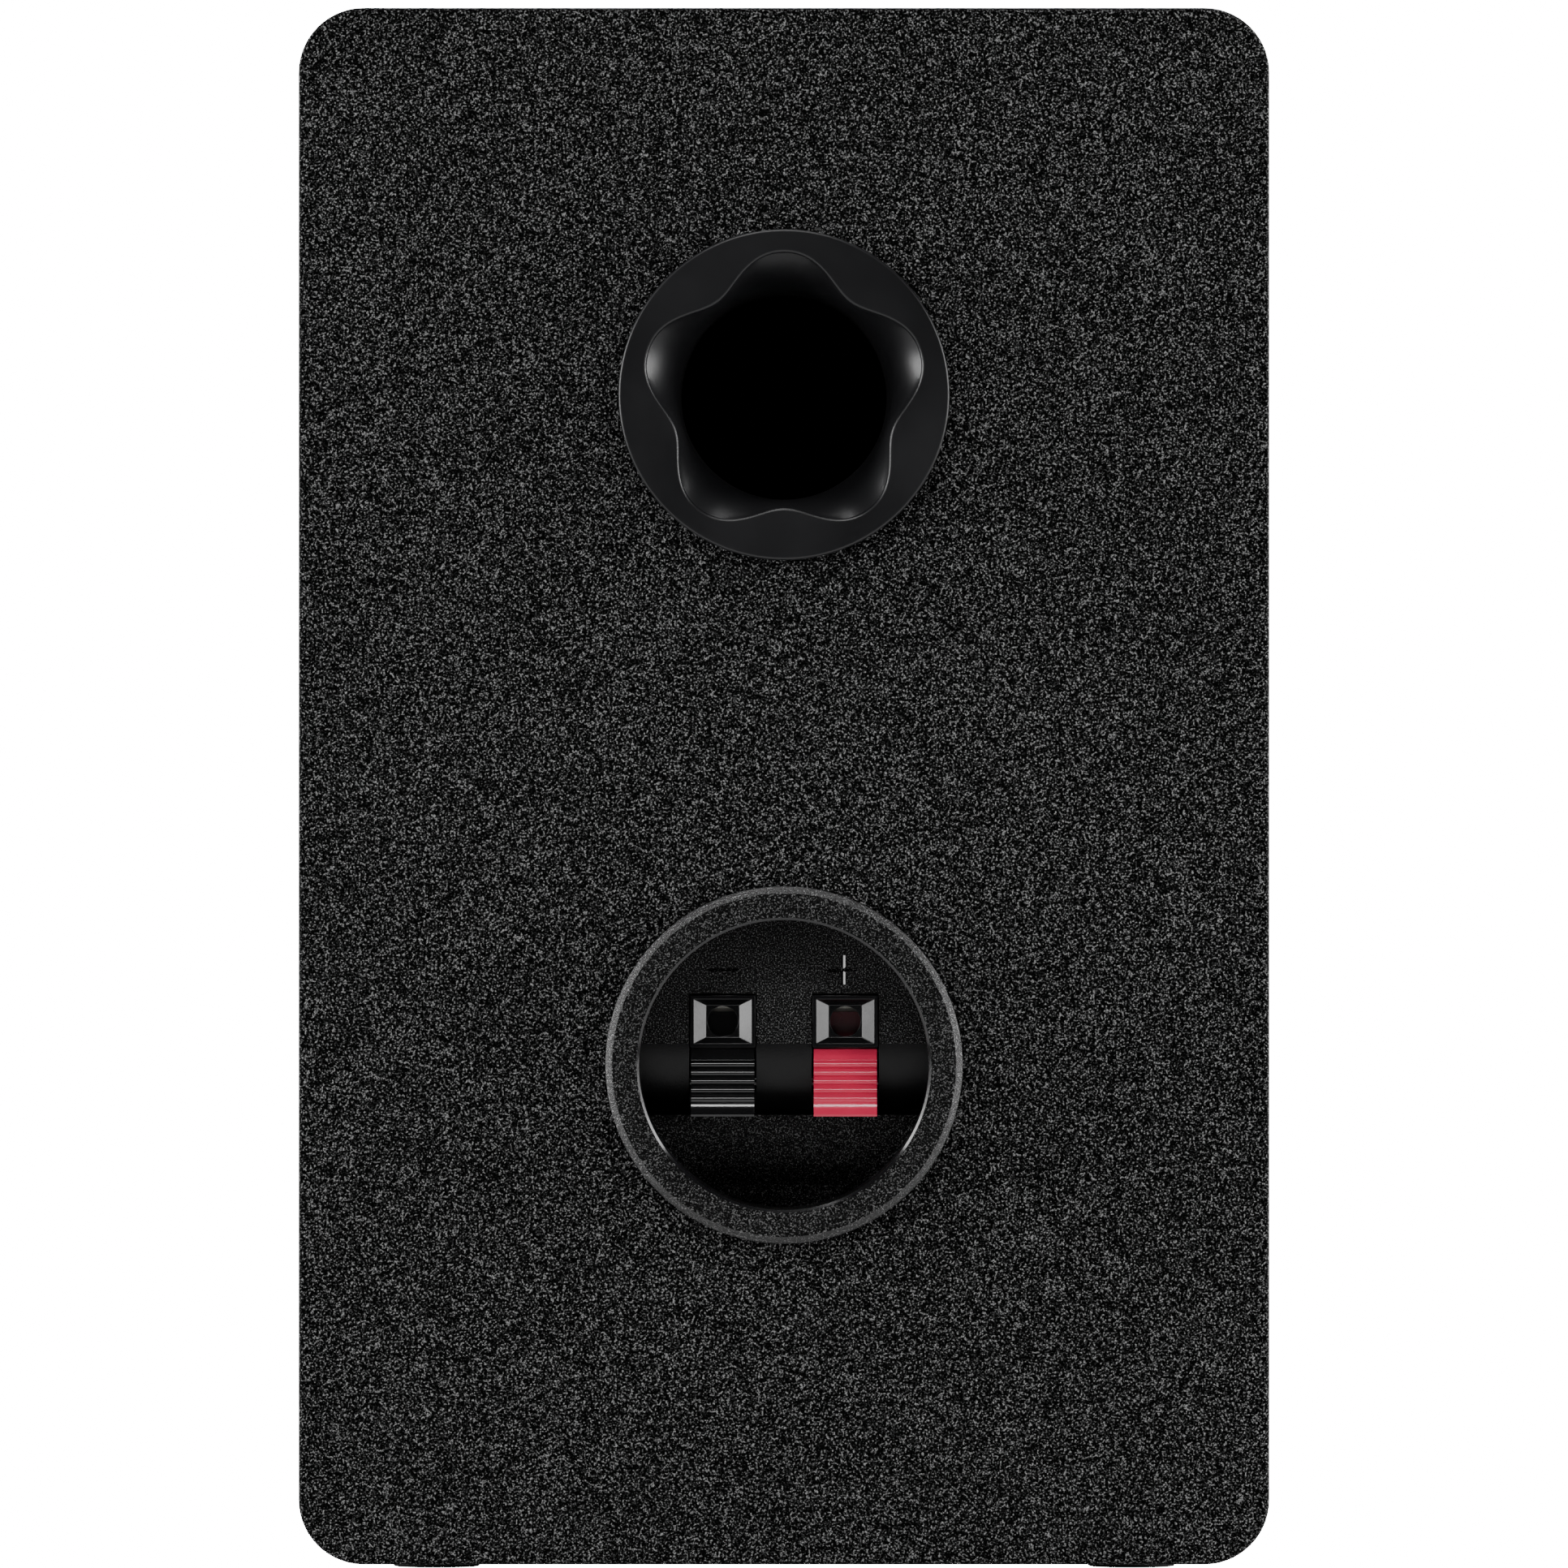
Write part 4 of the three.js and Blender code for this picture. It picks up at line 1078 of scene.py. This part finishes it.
def floor():
    bm = bmesh.new()
    bmesh.ops.create_circle(bm, cap_ends=True, segments=96, radius=0.6)
    made = to_object(bm, "floor")
    material, tree, shader = new_material("floor_paper", (0.82, 0.82, 0.82), 0.9)
    shader.inputs["Emission Color"].default_value = (1, 1, 1, 1)
    path = add(tree, "ShaderNodeLightPath")
    glow = combine(tree, "MULTIPLY", path.outputs["Is Camera Ray"], FLOOR_GLOW)
    tree.links.new(glow, shader.inputs["Emission Strength"])
    made.data.materials.append(material)


# %% Lights
MIDDLE = (0, 0, 0.13)
REAR_MIDDLE = (0, 0.09, 0.13)
FRONT_MIDDLE = (0, -0.09, 0.13)


def panel(name, location, size, power, target=MIDDLE):
    data = bpy.data.lights.new(name, "AREA")
    data.shape = "RECTANGLE"
    data.size, data.size_y = size
    data.energy = power
    made = bpy.data.objects.new(name, data)
    made.location = location
    aim = Vector(target) - Vector(location)
    made.rotation_euler = aim.to_track_quat("-Z", "Y").to_euler()
    bpy.context.scene.collection.objects.link(made)


def backdrop():
    world = bpy.data.worlds.new("studio")
    world.use_nodes = True
    tree = world.node_tree
    ground = tree.nodes["Background"]
    path = add(tree, "ShaderNodeLightPath")
    strength = add(tree, "ShaderNodeMapRange")
    strength.inputs["To Min"].default_value = ROOM_GLOW
    strength.inputs["To Max"].default_value = BACKDROP_GLOW
    tree.links.new(path.outputs["Is Camera Ray"], strength.inputs["Value"])
    tree.links.new(strength.outputs["Result"], ground.inputs["Strength"])
    ground.inputs["Color"].default_value = (1, 1, 1, 1)
    bpy.context.scene.world = world


floor()
backdrop()
panel("rear_left_soft", (1.5, 1.1, 0.5), (0.35, 1.1), 20)
panel("rear_right_soft", (-1.5, 1.1, 0.5), (0.35, 1.1), 18)
panel("rear_top_soft", (0.2, 1.2, 1.5), (0.8, 0.3), 15)
panel("left_edge", (1.6, 0.25, 0.3), (0.3, 1.0), 26, REAR_MIDDLE)
panel("right_edge", (-1.6, 0.25, 0.3), (0.3, 1.0), 24, REAR_MIDDLE)
panel("top_edge", (0, 0.3, 1.7), (1.0, 0.3), 8, REAR_MIDDLE)
panel("front_left_soft", (-1.5, -1.1, 0.6), (0.35, 1.1), 22)
panel("front_right_soft", (1.5, -1.1, 0.6), (0.35, 1.1), 18)
panel("front_top_soft", (-0.2, -1.2, 1.5), (0.8, 0.3), 10)
panel("front_left_edge", (-1.6, -0.25, 0.3), (0.3, 1.0), 16, FRONT_MIDDLE)
print("floor, backdrop and ten soft lights")

# %% Finish
print("scene built")
